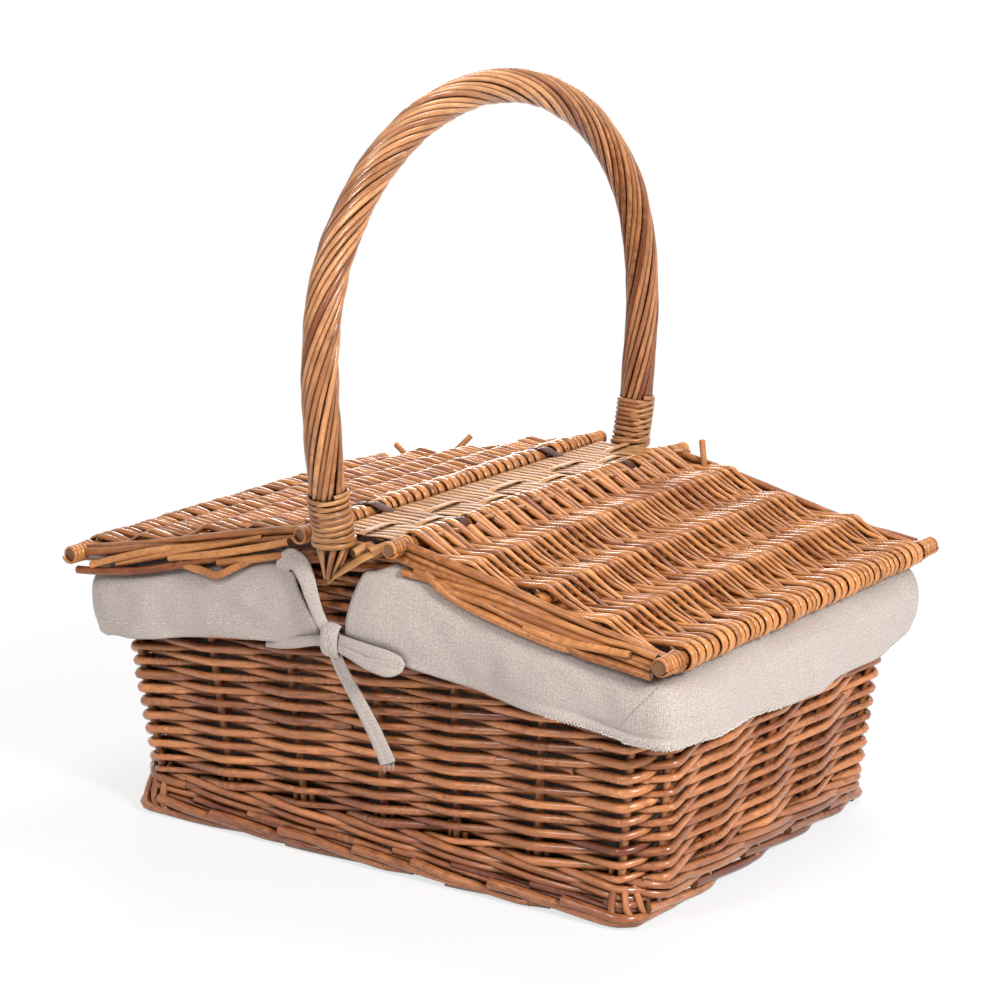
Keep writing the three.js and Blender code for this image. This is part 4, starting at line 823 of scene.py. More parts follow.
class BASKET_OT_foot(Operator):
    """Rolls the foot border: thick rods that slope down along the foot to blunt ends, over rings of rods"""

    bl_idname = "basket.foot"
    bl_label = "Foot border"

    def execute(self, context):
        sizes = context.scene.basket_sizes
        rng = np.random.default_rng(13)
        border = Bundle()
        inset, corner = 9.0, 8.0
        half_y = -1000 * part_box("foot_border_front")[0].y - inset
        half_x = 1000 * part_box("foot_border_right")[1].x - inset
        around = 4 * (half_x + half_y - 2 * corner) + 2 * math.pi * corner

        def lay(start, length, shape, level, radius, count=26):
            """Lays a rod along the foot, by its way out and its height, no lower than the floor."""
            u = np.linspace(0, 1, count)
            flat, away = rounded_ring(start + length * u, half_x, half_y, corner)
            out = shape(u) + wander(rng, count, 4, 0.7)
            z = np.maximum(level(u) + wander(rng, count, 4, 0.6), 1.1 * radius + 0.1)
            points = np.concatenate([flat + away * out[:, None], z[:, None]], axis=1)
            tone = tones(rng, 0.32, 0.17, count, 3, 0.14)
            border.strand(points, radius * np.linspace(1.08, 0.86, count), sides=8, tone=tone)

        # On each side, outer rods that fall towards the floor and thinner ones behind and above them, and on
        # the long sides three more that lie low
        thick = 500 * sizes.foot_rod
        sides = [2 * half_x, 2 * half_y, 2 * half_x, 2 * half_y]
        begin = 0.0
        for side, length in enumerate(sides):
            strokes = 7 if side % 2 == 0 else 5
            for j in range(strokes):
                start = begin + length * (j + 0.05) / strokes + rng.uniform(-5, 5)
                long, fall = (1.95, 1.0) if side % 2 == 0 else (1.6, 0.85)
                fall *= rng.uniform(0.9, 1.1)
                lay(start, long * rng.uniform(0.9, 1.1) * length / strokes,
                    lambda u: 6.2 - 1.2 * u - 3.0 * ease(0.8, 1.0, u),
                    lambda u: 11.8 - 8.2 * ease(-0.2, fall, u), thick * rng.uniform(0.86, 1.02))
                lay(start + 0.5 * length / strokes, 2.1 * length / strokes, lambda u: 0.2,
                    lambda u: 14.2 - 6.5 * ease(-0.1, 1.1, u), thick * rng.uniform(0.74, 0.9))
            if side % 2 == 0:
                for j in range(3):
                    lay(begin + length * (j - 0.1) / 3, 0.5 * length,
                        lambda u: 1.5 + 2.5 * np.sin(2 * math.pi * u + j), lambda u: 3.6,
                        thick * rng.uniform(0.8, 0.98), 36)
            begin += around * length / sum(sides)
        # Three rings inside, each of four rods
        for ring in range(3):
            for j in range(4):
                start = around * (j + 0.3 * ring) / 4
                lay(start, around / 4 + 30, lambda u: -7.5 + 1.6 * ring, lambda u: 4.0 + 4.0 * ring,
                    thick, 40)
        # Four rods come down at each corner
        straight = [2 * (half_x - corner), 2 * (half_y - corner)] * 2
        for quarter in range(4):
            at = sum(straight[:quarter + 1]) + quarter * math.pi / 2 * corner
            for step in range(4):
                self.corner_rod(border, rng, at + 7.3 * step - 2, half_x, half_y, corner, thick)
        piece = border.build("foot_border")
        place_piece(piece, "basket", wall_willow(context.scene.basket_colours),
                    [f"foot_border_{side}" for side in ("front", "right", "back", "left")])
        return {'FINISHED'}

    @staticmethod
    def corner_rod(border, rng, at, half_x, half_y, corner, thick):
        """A rod that comes down at a corner, turns under the border's edge and lies along it."""
        drop = [(at, -1.5, 25), (at, 1.5, 18), (at + 1, 4.0, 10), (at + 5, 4.6, 5.2), (at + 16, 3.5, 3.6),
                (at + 34, 2.0, 3.4)]
        run, out, z = smooth_path(np.array(drop, float), 24).T
        flat, away = rounded_ring(run, half_x, half_y, corner)
        radius = thick * rng.uniform(0.6, 0.85)
        points = np.concatenate([flat + away * out[:, None], np.maximum(z, radius + 0.1)[:, None]], axis=1)
        border.strand(points, radius, ref=(1, 1, 0.2), sides=7, tone=rng.uniform(0.3, 0.7))


class BASKET_OT_base(Operator):
    """Weaves the base: rods along the basket, in and out of flat sticks across it"""

    bl_idname = "basket.base"
    bl_label = "Base"

    def execute(self, context):
        rng = np.random.default_rng(14)
        base = Bundle()
        low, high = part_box("base_weave")
        past_frame, first_stick, sticks, rod_pitch = 2, 18, 8, 4.6
        half_x, half_y = 1000 * high.x + past_frame, 1000 * high.y + past_frame
        middle = 500 * (low.z + high.z)
        places = np.linspace(-half_x + first_stick, half_x - first_stick, sticks)
        for x in places:
            points = np.stack([np.full(6, x), np.linspace(-half_y, half_y, 6), np.full(6, middle)], axis=1)
            base.strand(points, 3.4, 1.6, sides=8, tone=rng.uniform(0.3, 0.6))
        rods = int(2 * half_y / rod_pitch)
        step = places[1] - places[0]
        for j in range(rods):
            y = -half_y + (j + 0.5) * 2 * half_y / rods
            x = np.linspace(-half_x, half_x, 66)
            z = middle + 2.2 * np.cos(math.pi * ((x - places[0]) / step + j))
            points = np.stack([x, y + wander(rng, 66, 8, 0.3), z], axis=1)
            base.strand(points, 2.1, sides=5, tone=np.clip(rng.normal(0.5, 0.2), 0.02, 1))
        piece = base.build("base_weave_rods")
        place_piece(piece, "basket", wall_willow(context.scene.basket_colours), ["base_weave"])
        return {'FINISHED'}


class BASKET_OT_rim(Operator):
    """Lays the rim border: four rods twisted together on the walls, and short rods beside the handle"""

    bl_idname = "basket.rim"
    bl_label = "Rim border"

    def execute(self, context):
        rng = np.random.default_rng(15)
        border = Bundle()
        n = 300
        k = np.linspace(0, STAKES, n)
        turns, wide, high, depth = 10, 4.6, 2.8, 6.0
        for rod in range(4):
            points = wall_place(k, END_MIDDLE, RIM_MIDDLE)
            run = run_along(points)
            turn = 2 * math.pi * run / (run[-1] / turns) + rod * math.pi / 2
            # The rods bulge outwards beside the handle's foot
            beside = np.exp(-((points[:, 0] - HANDLE_X) / 16) ** 2) * (np.abs(points[:, 1]) > 120)
            out = RIM_MIDDLE + wide * np.cos(turn) + 2.5 * beside
            points = wall_place(k, rim_top(points[:, 0]) - depth + high * np.sin(turn), out)
            points[:, 2] = rim_top(points[:, 0]) - depth + high * np.sin(turn)
            border.strand(points, 3.0, sides=7, tone=tones(rng, 0.5, 0.15, n, 14, 0.15))
        for flip in (-1, 1):
            for y, z, reach in ((152.5, 203.5, 34), (149.0, 206.5, 30), (154.0, 208.2, 17)):
                x = np.linspace(-reach, reach, 14) + 4
                aside = flip * (y + wander(rng, 14, 3, 0.6))
                points = np.stack([x, aside, z + wander(rng, 14, 3, 0.6)], axis=1)
                border.strand(points, 2.7, sides=8, tone=np.clip(rng.normal(0.45, 0.15), 0.1, 1))
        piece = border.build("rim_border")
        place_piece(piece, "basket", wall_willow(context.scene.basket_colours),
                    [f"rim_border_{side}" for side in ("front", "right", "back", "left")])
        return {'FINISHED'}


def handle_line(count):
    """The handle's middle line, from the front wall over the bow to the back wall."""
    half_span, spring, top = 178.5, 325.0, 471.0
    legs = [(-7.0, half_width(90.0), 90.0), (-7.0, half_width(132.0), 132.0), (-7.0, 157.0, 174.0),
            (-6.0, 163.0, 188.0), (-2.5, 165.6, BINDING_FOOT - 13.0), (-0.5, 166.8, BINDING_FOOT),
            (0.0, 173.0, BINDING_FOOT + 29.0)]
    points = [(HANDLE_X + x, -y, z) for x, y, z in legs]
    for angle in np.linspace(0, math.pi, 9):
        points.append((HANDLE_X, -half_span * math.cos(angle), spring + (top - spring) * math.sin(angle)))
    points += [(HANDLE_X + x, y, z) for x, y, z in reversed(legs)]
    return smooth_path(points, count)


def handle_frame(line):
    """The handle's directions across and outwards along its line."""
    across = np.broadcast_to(X_AXIS, line.shape)
    return across, np.cross(across, unit(np.gradient(line, axis=0)))


class BASKET_OT_handle(Operator):
    """Twists the handle's rods round its bow and binds each foot with skein"""

    bl_idname = "basket.handle"
    bl_label = "Handle"

    def execute(self, context):
        sizes, colours = context.scene.basket_sizes, context.scene.basket_colours
        rng = np.random.default_rng(16)
        n = 230
        line = handle_line(n)
        across, outward = handle_frame(line)
        run = run_along(line)
        bow = Bundle()
        low_end, high_end = 187.0, 222.0
        gather = ease(low_end - 4, 214.0, line[:, 2])
        rods = sizes.handle_rods
        # The twist is tight on the front shoulder and slack at the feet. Painted light and shade: the rods'
        # tone is raised over the top, where light falls, and lowered on the far leg, where shade falls
        share = run / run[-1]
        tight = np.interp(share, (0.0, 0.14, 0.28, 0.36, 0.52, 0.72, 0.86, 1.0),
                          (0.5, 0.6, 1.15, 1.3, 0.95, 0.75, 0.6, 0.5))
        rate = tight / (1000 * sizes.handle_twist)
        twist = np.concatenate([[0], np.cumsum(rate[1:] * np.diff(run))])
        painted_light_and_shade = np.interp(share, (0.0, 0.32, 0.45, 0.6, 0.75, 1.0), (0.0, 0.06, 0.24, 0.14, -0.2, -0.22))
        for rod in range(rods):
            reach = (2.4 + 6.8 * gather) + wander(rng, n, 16, 0.45)
            angle = 2 * math.pi * (rod / rods - twist) + wander(rng, n, 12, 0.07)
            radial = spokes(angle, across, outward)
            spot = line + reach[:, None] * radial
            radius = (1.5 + 0.45 * gather) * rng.uniform(0.88, 1.12) + wander(rng, n, 6, 0.15)
            held = line[:, 2] > (low_end if rod % 2 == 0 else high_end)
            tone = tones(rng, 0.58, 0.2, n, 9, 0.2, painted_light_and_shade)
            bow.strand(spot[held], radius[held], ref=radial[held], sides=7, tone=tone[held])
        core = ease(low_end, 217.0, line[:, 2]) * 5.6 + 1.4
        shown = line[:, 2] > low_end
        bow.strand(line[shown], core[shown], ref=(1, 0, 0), sides=8, tone=0.1)
        piece = bow.build("handle_bow_rods")
        place_piece(piece, "basket", handle_willow(colours), ["handle_bow"])
        for name, flip in (("front", 1), ("back", -1)):
            self.binding(context, rng, name, flip)
        return {'FINISHED'}

    @staticmethod
    def binding(context, rng, name, flip):
        """Winds skein round a foot of the handle, with two turns below and seven slanting ones on top."""
        line = handle_line(900)
        if flip < 0:
            line = line * np.array([1, -1, 1])
        half = line[:450]
        low, high = (np.searchsorted(half[:, 2], BINDING_FOOT + up) for up in (-0.5, 30.0))
        turns = context.scene.basket_sizes.binding_turns
        n = turns * 24
        middle = even_steps(half[low:high], n)
        winding = Bundle()
        angle = 2 * math.pi * turns * np.linspace(0, 1, n) + 0.6
        radial = spokes(angle, *handle_frame(middle))
        tone = np.clip(0.5 + wander(rng, n, 22, 0.35), 0, 1)
        winding.strand(middle + 12.2 * radial, 1.6, 0.85, ref=radial, sides=8, tone=tone)
        spin = np.linspace(-0.4, 2 * math.pi + 0.5, 48)
        ring = spokes(spin, X_AXIS, Y_AXIS)
        for level, tilt, phase in ((-2.6, 0.9, 0.0), (-0.6, 1.6, 2.4)):
            path = middle[2] + (12.7 + 0.25 * tilt) * ring
            path[:, 2] += level + tilt * np.sin(spin + phase)
            winding.strand(path, 1.7, 0.8, ref=ring, sides=8, tone=0.6)
        sweep = np.linspace(-1.5, 0.75, 22)
        ring = spokes(sweep, X_AXIS, Y_AXIS)
        bulge = 13.4 - 2.6 * (1 - np.sin(math.pi * np.linspace(0.02, 0.98, 22)) ** 0.4)
        for turn in range(7):
            at = middle[np.clip(int(n * (0.12 + 0.135 * turn)), 0, n - 1)]
            path = at + bulge[:, None] * ring
            path[:, 2] += 2.2 * sweep + rng.uniform(-0.4, 0.4)
            winding.strand(path, 1.3, 0.55, ref=ring, sides=8, tone=rng.uniform(0.5, 0.95))
        piece = winding.build(f"handle_binding_{name}_skein")
        place_piece(piece, "basket", binding_skein(context.scene.basket_colours),
                    [f"handle_binding_{name}"])


class BASKET_OT_bridge(Operator):
    """Weaves the bridge between the lids: flat skeins round two sticks, with two strips worked along it"""

    bl_idname = "basket.bridge"
    bl_label = "Bridge"

    def execute(self, context):
        sizes, colours = context.scene.basket_sizes, context.scene.basket_colours
        rng = np.random.default_rng(17)
        weave = Bundle()
        wide = 500 * sizes.skein
        step = 2 * wide + 0.12
        count = int(2 * BRIDGE_REACH / step)
        radius = BRIDGE_STICK + 0.75
        # Each strip goes over a block of skeins and under the next, and the second starts the other way
        strips = ((-1.5, 0), (13.0, 1))
        block = 5
        for j in range(count):
            y = -BRIDGE_REACH + (j + 0.5) * 2 * BRIDGE_REACH / count
            strapped = min(abs(y - LOOP_PLACE), abs(y + LOOP_PLACE)) < 5.2 + wide
            top = []
            for x in np.linspace(-BRIDGE_SPAN, BRIDGE_SPAN, 17)[1:-1]:
                z = BRIDGE_MIDDLE + radius - 0.6 * (1 - (x / BRIDGE_SPAN) ** 2)
                for place, odd in strips:
                    below = (j // block + odd) % 2 == 0
                    z += (-0.5 if below else 0.35) * math.exp(-((x - place) / 5.5) ** 2)
                top.append((x, z))
            wrap = 0.2 if strapped else 1.15 * math.pi
            left = [(-BRIDGE_SPAN + radius * math.cos(a), BRIDGE_MIDDLE + radius * math.sin(a))
                    for a in np.linspace(math.pi / 2 + wrap, math.pi / 2, 8)]
            right = [(BRIDGE_SPAN + radius * math.cos(a), BRIDGE_MIDDLE + radius * math.sin(a))
                     for a in np.linspace(math.pi / 2, math.pi / 2 - wrap, 8)]
            flat = np.array(left + top + right)
            slant = np.linspace(-1.2, 1.2, len(flat)) * rng.uniform(0.4, 1.2)
            points = np.stack([flat[:, 0], y + slant, flat[:, 1]], axis=1)
            weave.strand(points, wide * rng.uniform(0.94, 1.03), 0.5, ref=-band_out(points), sides=8,
                         tone=np.clip(rng.normal(0.55, 0.24), 0.02, 1))
        for x, odd in strips:
            y = np.linspace(-BRIDGE_REACH, BRIDGE_REACH, count * 3 + 1)
            j = (y + BRIDGE_REACH) / (2 * BRIDGE_REACH) * count
            wave = np.clip(2.2 * np.sin(math.pi * (j / block + odd)) - (0.9 if odd else 0.0), -1, 1)
            z = BRIDGE_MIDDLE + radius - 0.3 + 1.15 * wave
            points = np.stack([np.full_like(y, x) + wander(rng, len(y), 12, 0.8), y, z], axis=1)
            tone = np.clip(0.95 + wander(rng, len(y), 20, 0.15), 0, 1)
            weave.strand(points, 2.9, 0.5, sides=8, tone=tone)
        # A short stick and a skein tie each end of the bridge to the handle
        stick = [(3, -163.5, 206.2), (5, -156, 208), (6, -148, 208.6)]
        skein = [(-15, -164, 187), (-8, -166.5, 192), (4, -167, 199.5), (14, -166, 206), (20, -161, 209),
                 (22, -153, 210)]
        for flip in (1, -1):
            weave.strand(smooth_path(np.array(stick) * (1, flip, 1), 8), 3.0, sides=12, tone=0.8)
            weave.strand(smooth_path(np.array(skein) * (1, flip, 1), 30), 3.3, 0.7,
                         ref=(-0.45, -0.75 * flip, 0.5), sides=10, tone=1.0)
        piece = weave.build("bridge_skeins")
        place_piece(piece, "basket", pale_skein(colours), ["bridge_weave"])
        for name, x in (("left", -BRIDGE_SPAN), ("right", BRIDGE_SPAN)):
            stick = Bundle()
            y = np.linspace(-162, 162, 24)
            sag = 3.0 * ease(150, 162, np.abs(y))
            aside = x - 0.1 * x * sag + wander(rng, 24, 4, 0.3)
            points = np.stack([aside, y, BRIDGE_MIDDLE - sag + wander(rng, 24, 4, 0.2)], axis=1)
            stick.strand(points, BRIDGE_STICK, sides=14, tone=0.5)
            piece = stick.build(f"bridge_{name}_stick")
            place_piece(piece, "basket", pale_skein(colours), [f"bridge_stick_{name}"])
        return {'FINISHED'}


class BASKET_OT_straps(Operator):
    """Puts the four leather straps round the hinge sticks and the bridge's, with ends on the left lid"""

    bl_idname = "basket.straps"
    bl_label = "Hinge straps"

    def execute(self, context):
        material = leather("brown_strap_leather", context.scene.basket_colours.strap)
        near = np.array([BRIDGE_SPAN, BRIDGE_MIDDLE])
        far = np.array([HINGE_SPAN, HINGE_HEIGHT])
        lean = math.atan2(far[1] - near[1], far[0] - near[0])
        for name, sign, half_wide, slack in (("left", -1, 4.9, 1.2), ("right", 1, 4.2, 0.8)):
            for number, y in ((1, -LOOP_PLACE), (2, LOOP_PLACE)):
                path = []
                for spot, radius, first in ((far, HINGE_STICK + slack, lean - math.pi / 2),
                                            (near, BRIDGE_STICK + 1.2, lean + math.pi / 2)):
                    for angle in np.linspace(first, first + math.pi, 13):
                        path.append(spot + radius * np.array([math.cos(angle), math.sin(angle)]))
                path.append(path[0])
                flat = even_steps(np.array(path), 60)
                points = np.stack([sign * flat[:, 0], np.full(60, y), flat[:, 1]], axis=1)
                strap = Bundle()
                strap.strand(points, half_wide, 0.7, ref=sign * band_out(points), sides=12)
                piece = strap.build(f"hinge_strap_{name}_{number}")
                place_piece(piece, "basket", material, [f"hinge_loop_{name}_{number}"])
                if sign < 0:
                    self.tab(name, sign, number, sign * y, material)
        return {'FINISHED'}

    @staticmethod
    def tab(name, sign, number, y, material):
        """The strap's end, which lies on the lid beside its hinge stick."""
        line = [(6.2, 5.6), (9.0, 6.3), (13.0, 5.4), (17.0, 3.8), (20.5, 2.0), (23.0, 0.4)]
        path = smooth_path([(x, y, z) for x, z in line], 20)
        end = Bundle()
        end.strand(lid_place(sign, path), 4.6, 0.7, sides=12)
        place_piece(end.build(f"lid_strap_{name}_{number}"), f"{name}_lid", material)


# Rods along a side of a lid, in the lid's own frame: from the hinge, out and up. Two on both lids lie inside,
# and the others differ on the left (-1) and the right (1) lid.
INNER_RODS = [[(2, 154.3, 1.6), (60, 154.8, 2.2), (130, 154.2, 1.2), (190, 154.6, 1.8)],
              [(4, 155.0, -3.2), (70, 155.6, -2.6), (140, 155.0, -3.6), (191, 155.4, -2.8)]]
SIDE_RODS = {
    -1: [[(199, 158, -0.5), (168, 158.5, -1), (135, 158, -1.2), (99, 157, -2.8), (58, 156, -3.8)],
         [(181, 163, -8.6), (156, 162.5, -5), (125, 161, -2.9), (94, 158, -2.6), (70, 155, -2)],
         [(161, 160, -9.4), (135, 161, -7), (101, 160.5, -4.4), (69, 158, -3), (40, 156, -1)],
         [(114, 162, -8.1), (72, 163, -7.5), (39, 162.5, -6.2), (15, 162, -4.2)],
         [(73, 163, -13), (49, 164, -13), (17, 163, -11.5)],
         [(194, 163, -10.5), (179, 163.5, -12), (145, 164.5, -14.4), (114, 164.5, -13.5), (80, 162.5, -11),
          (56, 160, -9)],
         [(104, 162.5, -12.5), (85, 166, -17), (72, 168.5, -20), (68, 168.5, -20), (58, 166.5, -17),
          (46, 163, -13.5)]],
    1: [[(8, 160.5, -12), (40, 159, -8), (80, 159, -4.3), (105, 159, -4), (125, 159, -2.5), (150, 159, -1.6),
         (167, 159.5, 0.3), (186, 160, 2)],
        [(-4, 158, -5), (16, 158.5, -6), (38, 158, -4.8), (65, 157, -2.8), (90, 156, -2.5),
         (115, 154.5, -2.3)],
        [(36, 162.5, -12), (65, 162, -9.6), (95, 162.5, -11), (119, 162, -9.5), (145, 162, -7.2),
         (167, 162, -6.3), (185, 162.5, -5.8)],
        [(24, 159.5, -8), (40, 162.5, -11.5), (56, 163.5, -14), (81, 164.5, -14.6), (103, 164.5, -14.6),
         (128, 164, -14), (140, 162, -11)],
        [(16, 160, -8.5), (50, 161, -9.5), (90, 161, -7.4), (130, 161, -6.4), (188, 161.5, -2.4)],
        [(99, 163, -12.5), (123, 164, -11), (147, 164, -6.6), (171, 163, -1.5)],
        [(122, 162, -11), (138, 164, -13), (158, 164.5, -10.8), (187, 164, -8.4)]],
}


class BASKET_OT_lids(Operator):
    """Weaves the two lids: groups of fine rods over and under five sticks, wrapped round the outer ones"""

    bl_idname = "basket.lids"
    bl_label = "Lids"

    def execute(self, context):
        for name, sign, seed in (("left", -1, 21), ("right", 1, 22)):
            self.lid(context, name, sign, seed)
        return {'FINISHED'}

    def lid(self, context, name, sign, seed):
        """One lid: its panel, and its hinge and outer sticks as pieces of their own."""
        sizes, colours = context.scene.basket_sizes, context.scene.basket_colours
        rng = np.random.default_rng(seed)
        panel = Bundle()
        pitch = 2 * LID_HALF_WIDTH / LID_GROUPS
        for group in range(1, LID_GROUPS):
            middle = pitch * group - LID_HALF_WIDTH
            count = int(rng.choice([2, 2, 3]))
            radius = 500 * sizes.lid_rod * (2 / count) ** 0.45
            for rod in range(count):
                place = (rod - (count - 1) / 2) / count
                self.rod(panel, rng, sign, middle, place * pitch, group, radius, 0.84 * pitch / count)
            if group % 2 == 0:
                self.nub(panel, rng, sign, middle + 0.9 * pitch)
        self.edges(panel, rng, sign)
        piece = panel.build(f"{name}_lid_rods")
        place_piece(piece, f"{name}_lid", lid_willow(colours), [f"{name}_lid_weave"])
        for label, x, radius in (("hinge", 0.0, HINGE_STICK), ("outer", LID_LENGTH, OUTER_STICK)):
            stick = Bundle()
            y = np.linspace(-168, 168, 20)
            points = np.stack([np.full(20, x), y, np.zeros(20)], axis=1)
            slim = radius * (1 - 0.22 * ease(140, 160, np.abs(y)))
            stick.strand(lid_place(sign, points), slim, sides=16, tone=0.55)
            piece = stick.build(f"{name}_lid_{label}_rod")
            place_piece(piece, f"{name}_lid", lid_willow(colours),
                        [f"{name}_lid_{label}_stick"])

    @staticmethod
    def rod(panel, rng, sign, middle, side, group, radius, band):
        """One rod of a group: in and out of the middle sticks, and round the hinge and outer sticks as a flat
        band whose half-width is band."""
        radius = radius * rng.uniform(0.86, 1.14)
        over = group % 2 == 0
        step = LID_LENGTH / LID_BAYS
        beside_strap = 8.5 if sign < 0 else 7.0
        strapped = min(abs(middle + 1.9 * side + y) for y in (-LOOP_PLACE, LOOP_PLACE)) < beside_strap
        # Points of the rod: along the lid, the share of its place in the group, and up
        line = []
        first = HINGE_STICK + radius
        if strapped:
            line.append((9.5 if over else 12.0, 1.9, 4.2 if over else -2.0))
        else:
            for angle in np.radians(np.linspace(265, 92, 7) if over else np.linspace(262, 276, 3)):
                line.append((first * math.cos(angle), 1.95, first * math.sin(angle)))
        for bay in range(1, LID_BAYS):
            x = step * bay
            high = (LID_STICK + radius) * (1 if (bay + group) % 2 == 0 else -1)
            line.append((x - step / 2, 1.3, rng.uniform(-0.5, 0.5)))
            for along, spread, share in ((-12, 1.8, 0.5), (-2.6, 1.95, 0.97), (0.4, 1.95, 1.05),
                                         (2.8, 1.95, 0.95), (13, 1.85, 0.4)):
                line.append((x + along, spread, share * high))
        line.append((LID_LENGTH - step / 2, 1.05, rng.uniform(-0.7, 0.7)))
        last = OUTER_STICK + radius
        ends = np.linspace(98, -115, 8) if over else np.linspace(-98, -60, 3)
        for angle in np.radians(ends):
            line.append((LID_LENGTH + last * math.cos(angle), 1.9, last * math.sin(angle)))
        line = np.array(line)
        points = np.stack([line[:, 0], middle + side * line[:, 1], line[:, 2]], axis=1)
        points[:, 1] += wander(rng, len(points), 5, 0.4)
        path = smooth_path(points, 76)
        tone = rng.normal(0.56, 0.18) + wander(rng, 76, 5, 0.15)
        pale = 1 - ease(-2, 6, path[:, 0]) + ease(LID_LENGTH - 5, LID_LENGTH + 3, path[:, 0])
        tone = np.clip(tone + 0.3 * pale, 0.02, 1)
        beside = np.mod(path[:, 0] + step / 2, step) - step / 2
        rise = np.where(beside < 0, ease(-22, -8, beside), 1 - ease(0, 7, beside)) * (1 - pale)
        pale = np.clip(pale, 0, 1)
        full = 0.92 + 0.12 * (1 - ease(20, 90, path[:, 0]))
        wide = radius * (full - 0.4 * pale)
        first_row = (1 - ease(12, 30, path[:, 0])) if over else 0.0
        broad = radius * (full + (0.95 * rise + 0.85 * first_row) * (1 - pale)) * (1 - pale) + band * pale
        panel.strand(lid_place(sign, path), wide, broad, ref=(0, 1, 0), sides=6, tone=tone)

    @staticmethod
    def nub(panel, rng, sign, middle):
        """The cut tip of a rod that comes up between the others beside the hinge stick."""
        y = middle + rng.uniform(-2, 2)
        if min(abs(y - LOOP_PLACE), abs(y + LOOP_PLACE)) < 8:
            return
        start = np.array([rng.uniform(5, 8), y, 4.4])
        way = np.array([6.5, rng.uniform(-1.0, 1.0), rng.uniform(1.6, 2.6)])
        path = start + np.linspace(0, 1, 4)[:, None] * way
        panel.strand(lid_place(sign, path), rng.uniform(1.2, 1.6), ref=(0, 1, 0), sides=7,
                     tone=rng.uniform(0.7, 1))

    @staticmethod
    def edges(panel, rng, sign):
        """The lid's middle sticks, the wraps at the ends of its outer ones, the thicker rods laid along its
        two sides and a few stray ends."""
        step = LID_LENGTH / LID_BAYS
        for bay in range(1, LID_BAYS):
            y = np.linspace(-BRIDGE_REACH, BRIDGE_REACH, 20)
            points = np.stack([np.full(20, step * bay), y, np.zeros(20)], axis=1)
            panel.strand(lid_place(sign, points), LID_STICK - 0.3, sides=10)
        turn = np.linspace(0, 2 * math.pi, 20)
        wraps = np.arange(150.5, 168, 3.3)
        for x, inner in ((0.0, HINGE_STICK), (LID_LENGTH, OUTER_STICK)):
            for y in np.concatenate([wraps, -wraps]):
                tight = (inner + 0.9) * (1 - 0.18 * ease(145, 160, abs(y)))
                wrap = np.stack([x + tight * np.cos(turn), y + 0.35 * turn, tight * np.sin(turn)], axis=1)
                panel.strand(lid_place(sign, wrap), 1.0, 1.8, ref=(0, 1, 0), tone=rng.uniform(0.4, 1.0),
                             ends=False)
        for edge in (-1, 1):
            for rod in INNER_RODS + SIDE_RODS[sign]:
                marks = np.array(rod, float)
                marks[:, 1:] += rng.uniform(-0.4, 0.4, (len(marks), 2))
                marks[:, 1] *= edge
                path = smooth_path(marks, 36)
                radius = rng.uniform(2.45, 3.0) * np.linspace(1.06, 0.9, 36)
                panel.strand(lid_place(sign, path), radius, sides=8, tone=tones(rng, 0.5, 0.2, 36, 4, 0.15))
        strays = ((158, 5, 9, 3, 7), (110, 5, -7, 8, 7)) if sign < 0 else ((28, 4, -9, 8, 11),)
        for x, z, along, out, up in strays:
            start = np.array([x, 149.0, z])
            path = start + np.linspace(-0.6, 1, 6)[:, None] * np.array([along, out, up])
            path[:, 1] *= sign
            panel.strand(lid_place(sign, path), 2.1, sides=8)


# Liner and ties

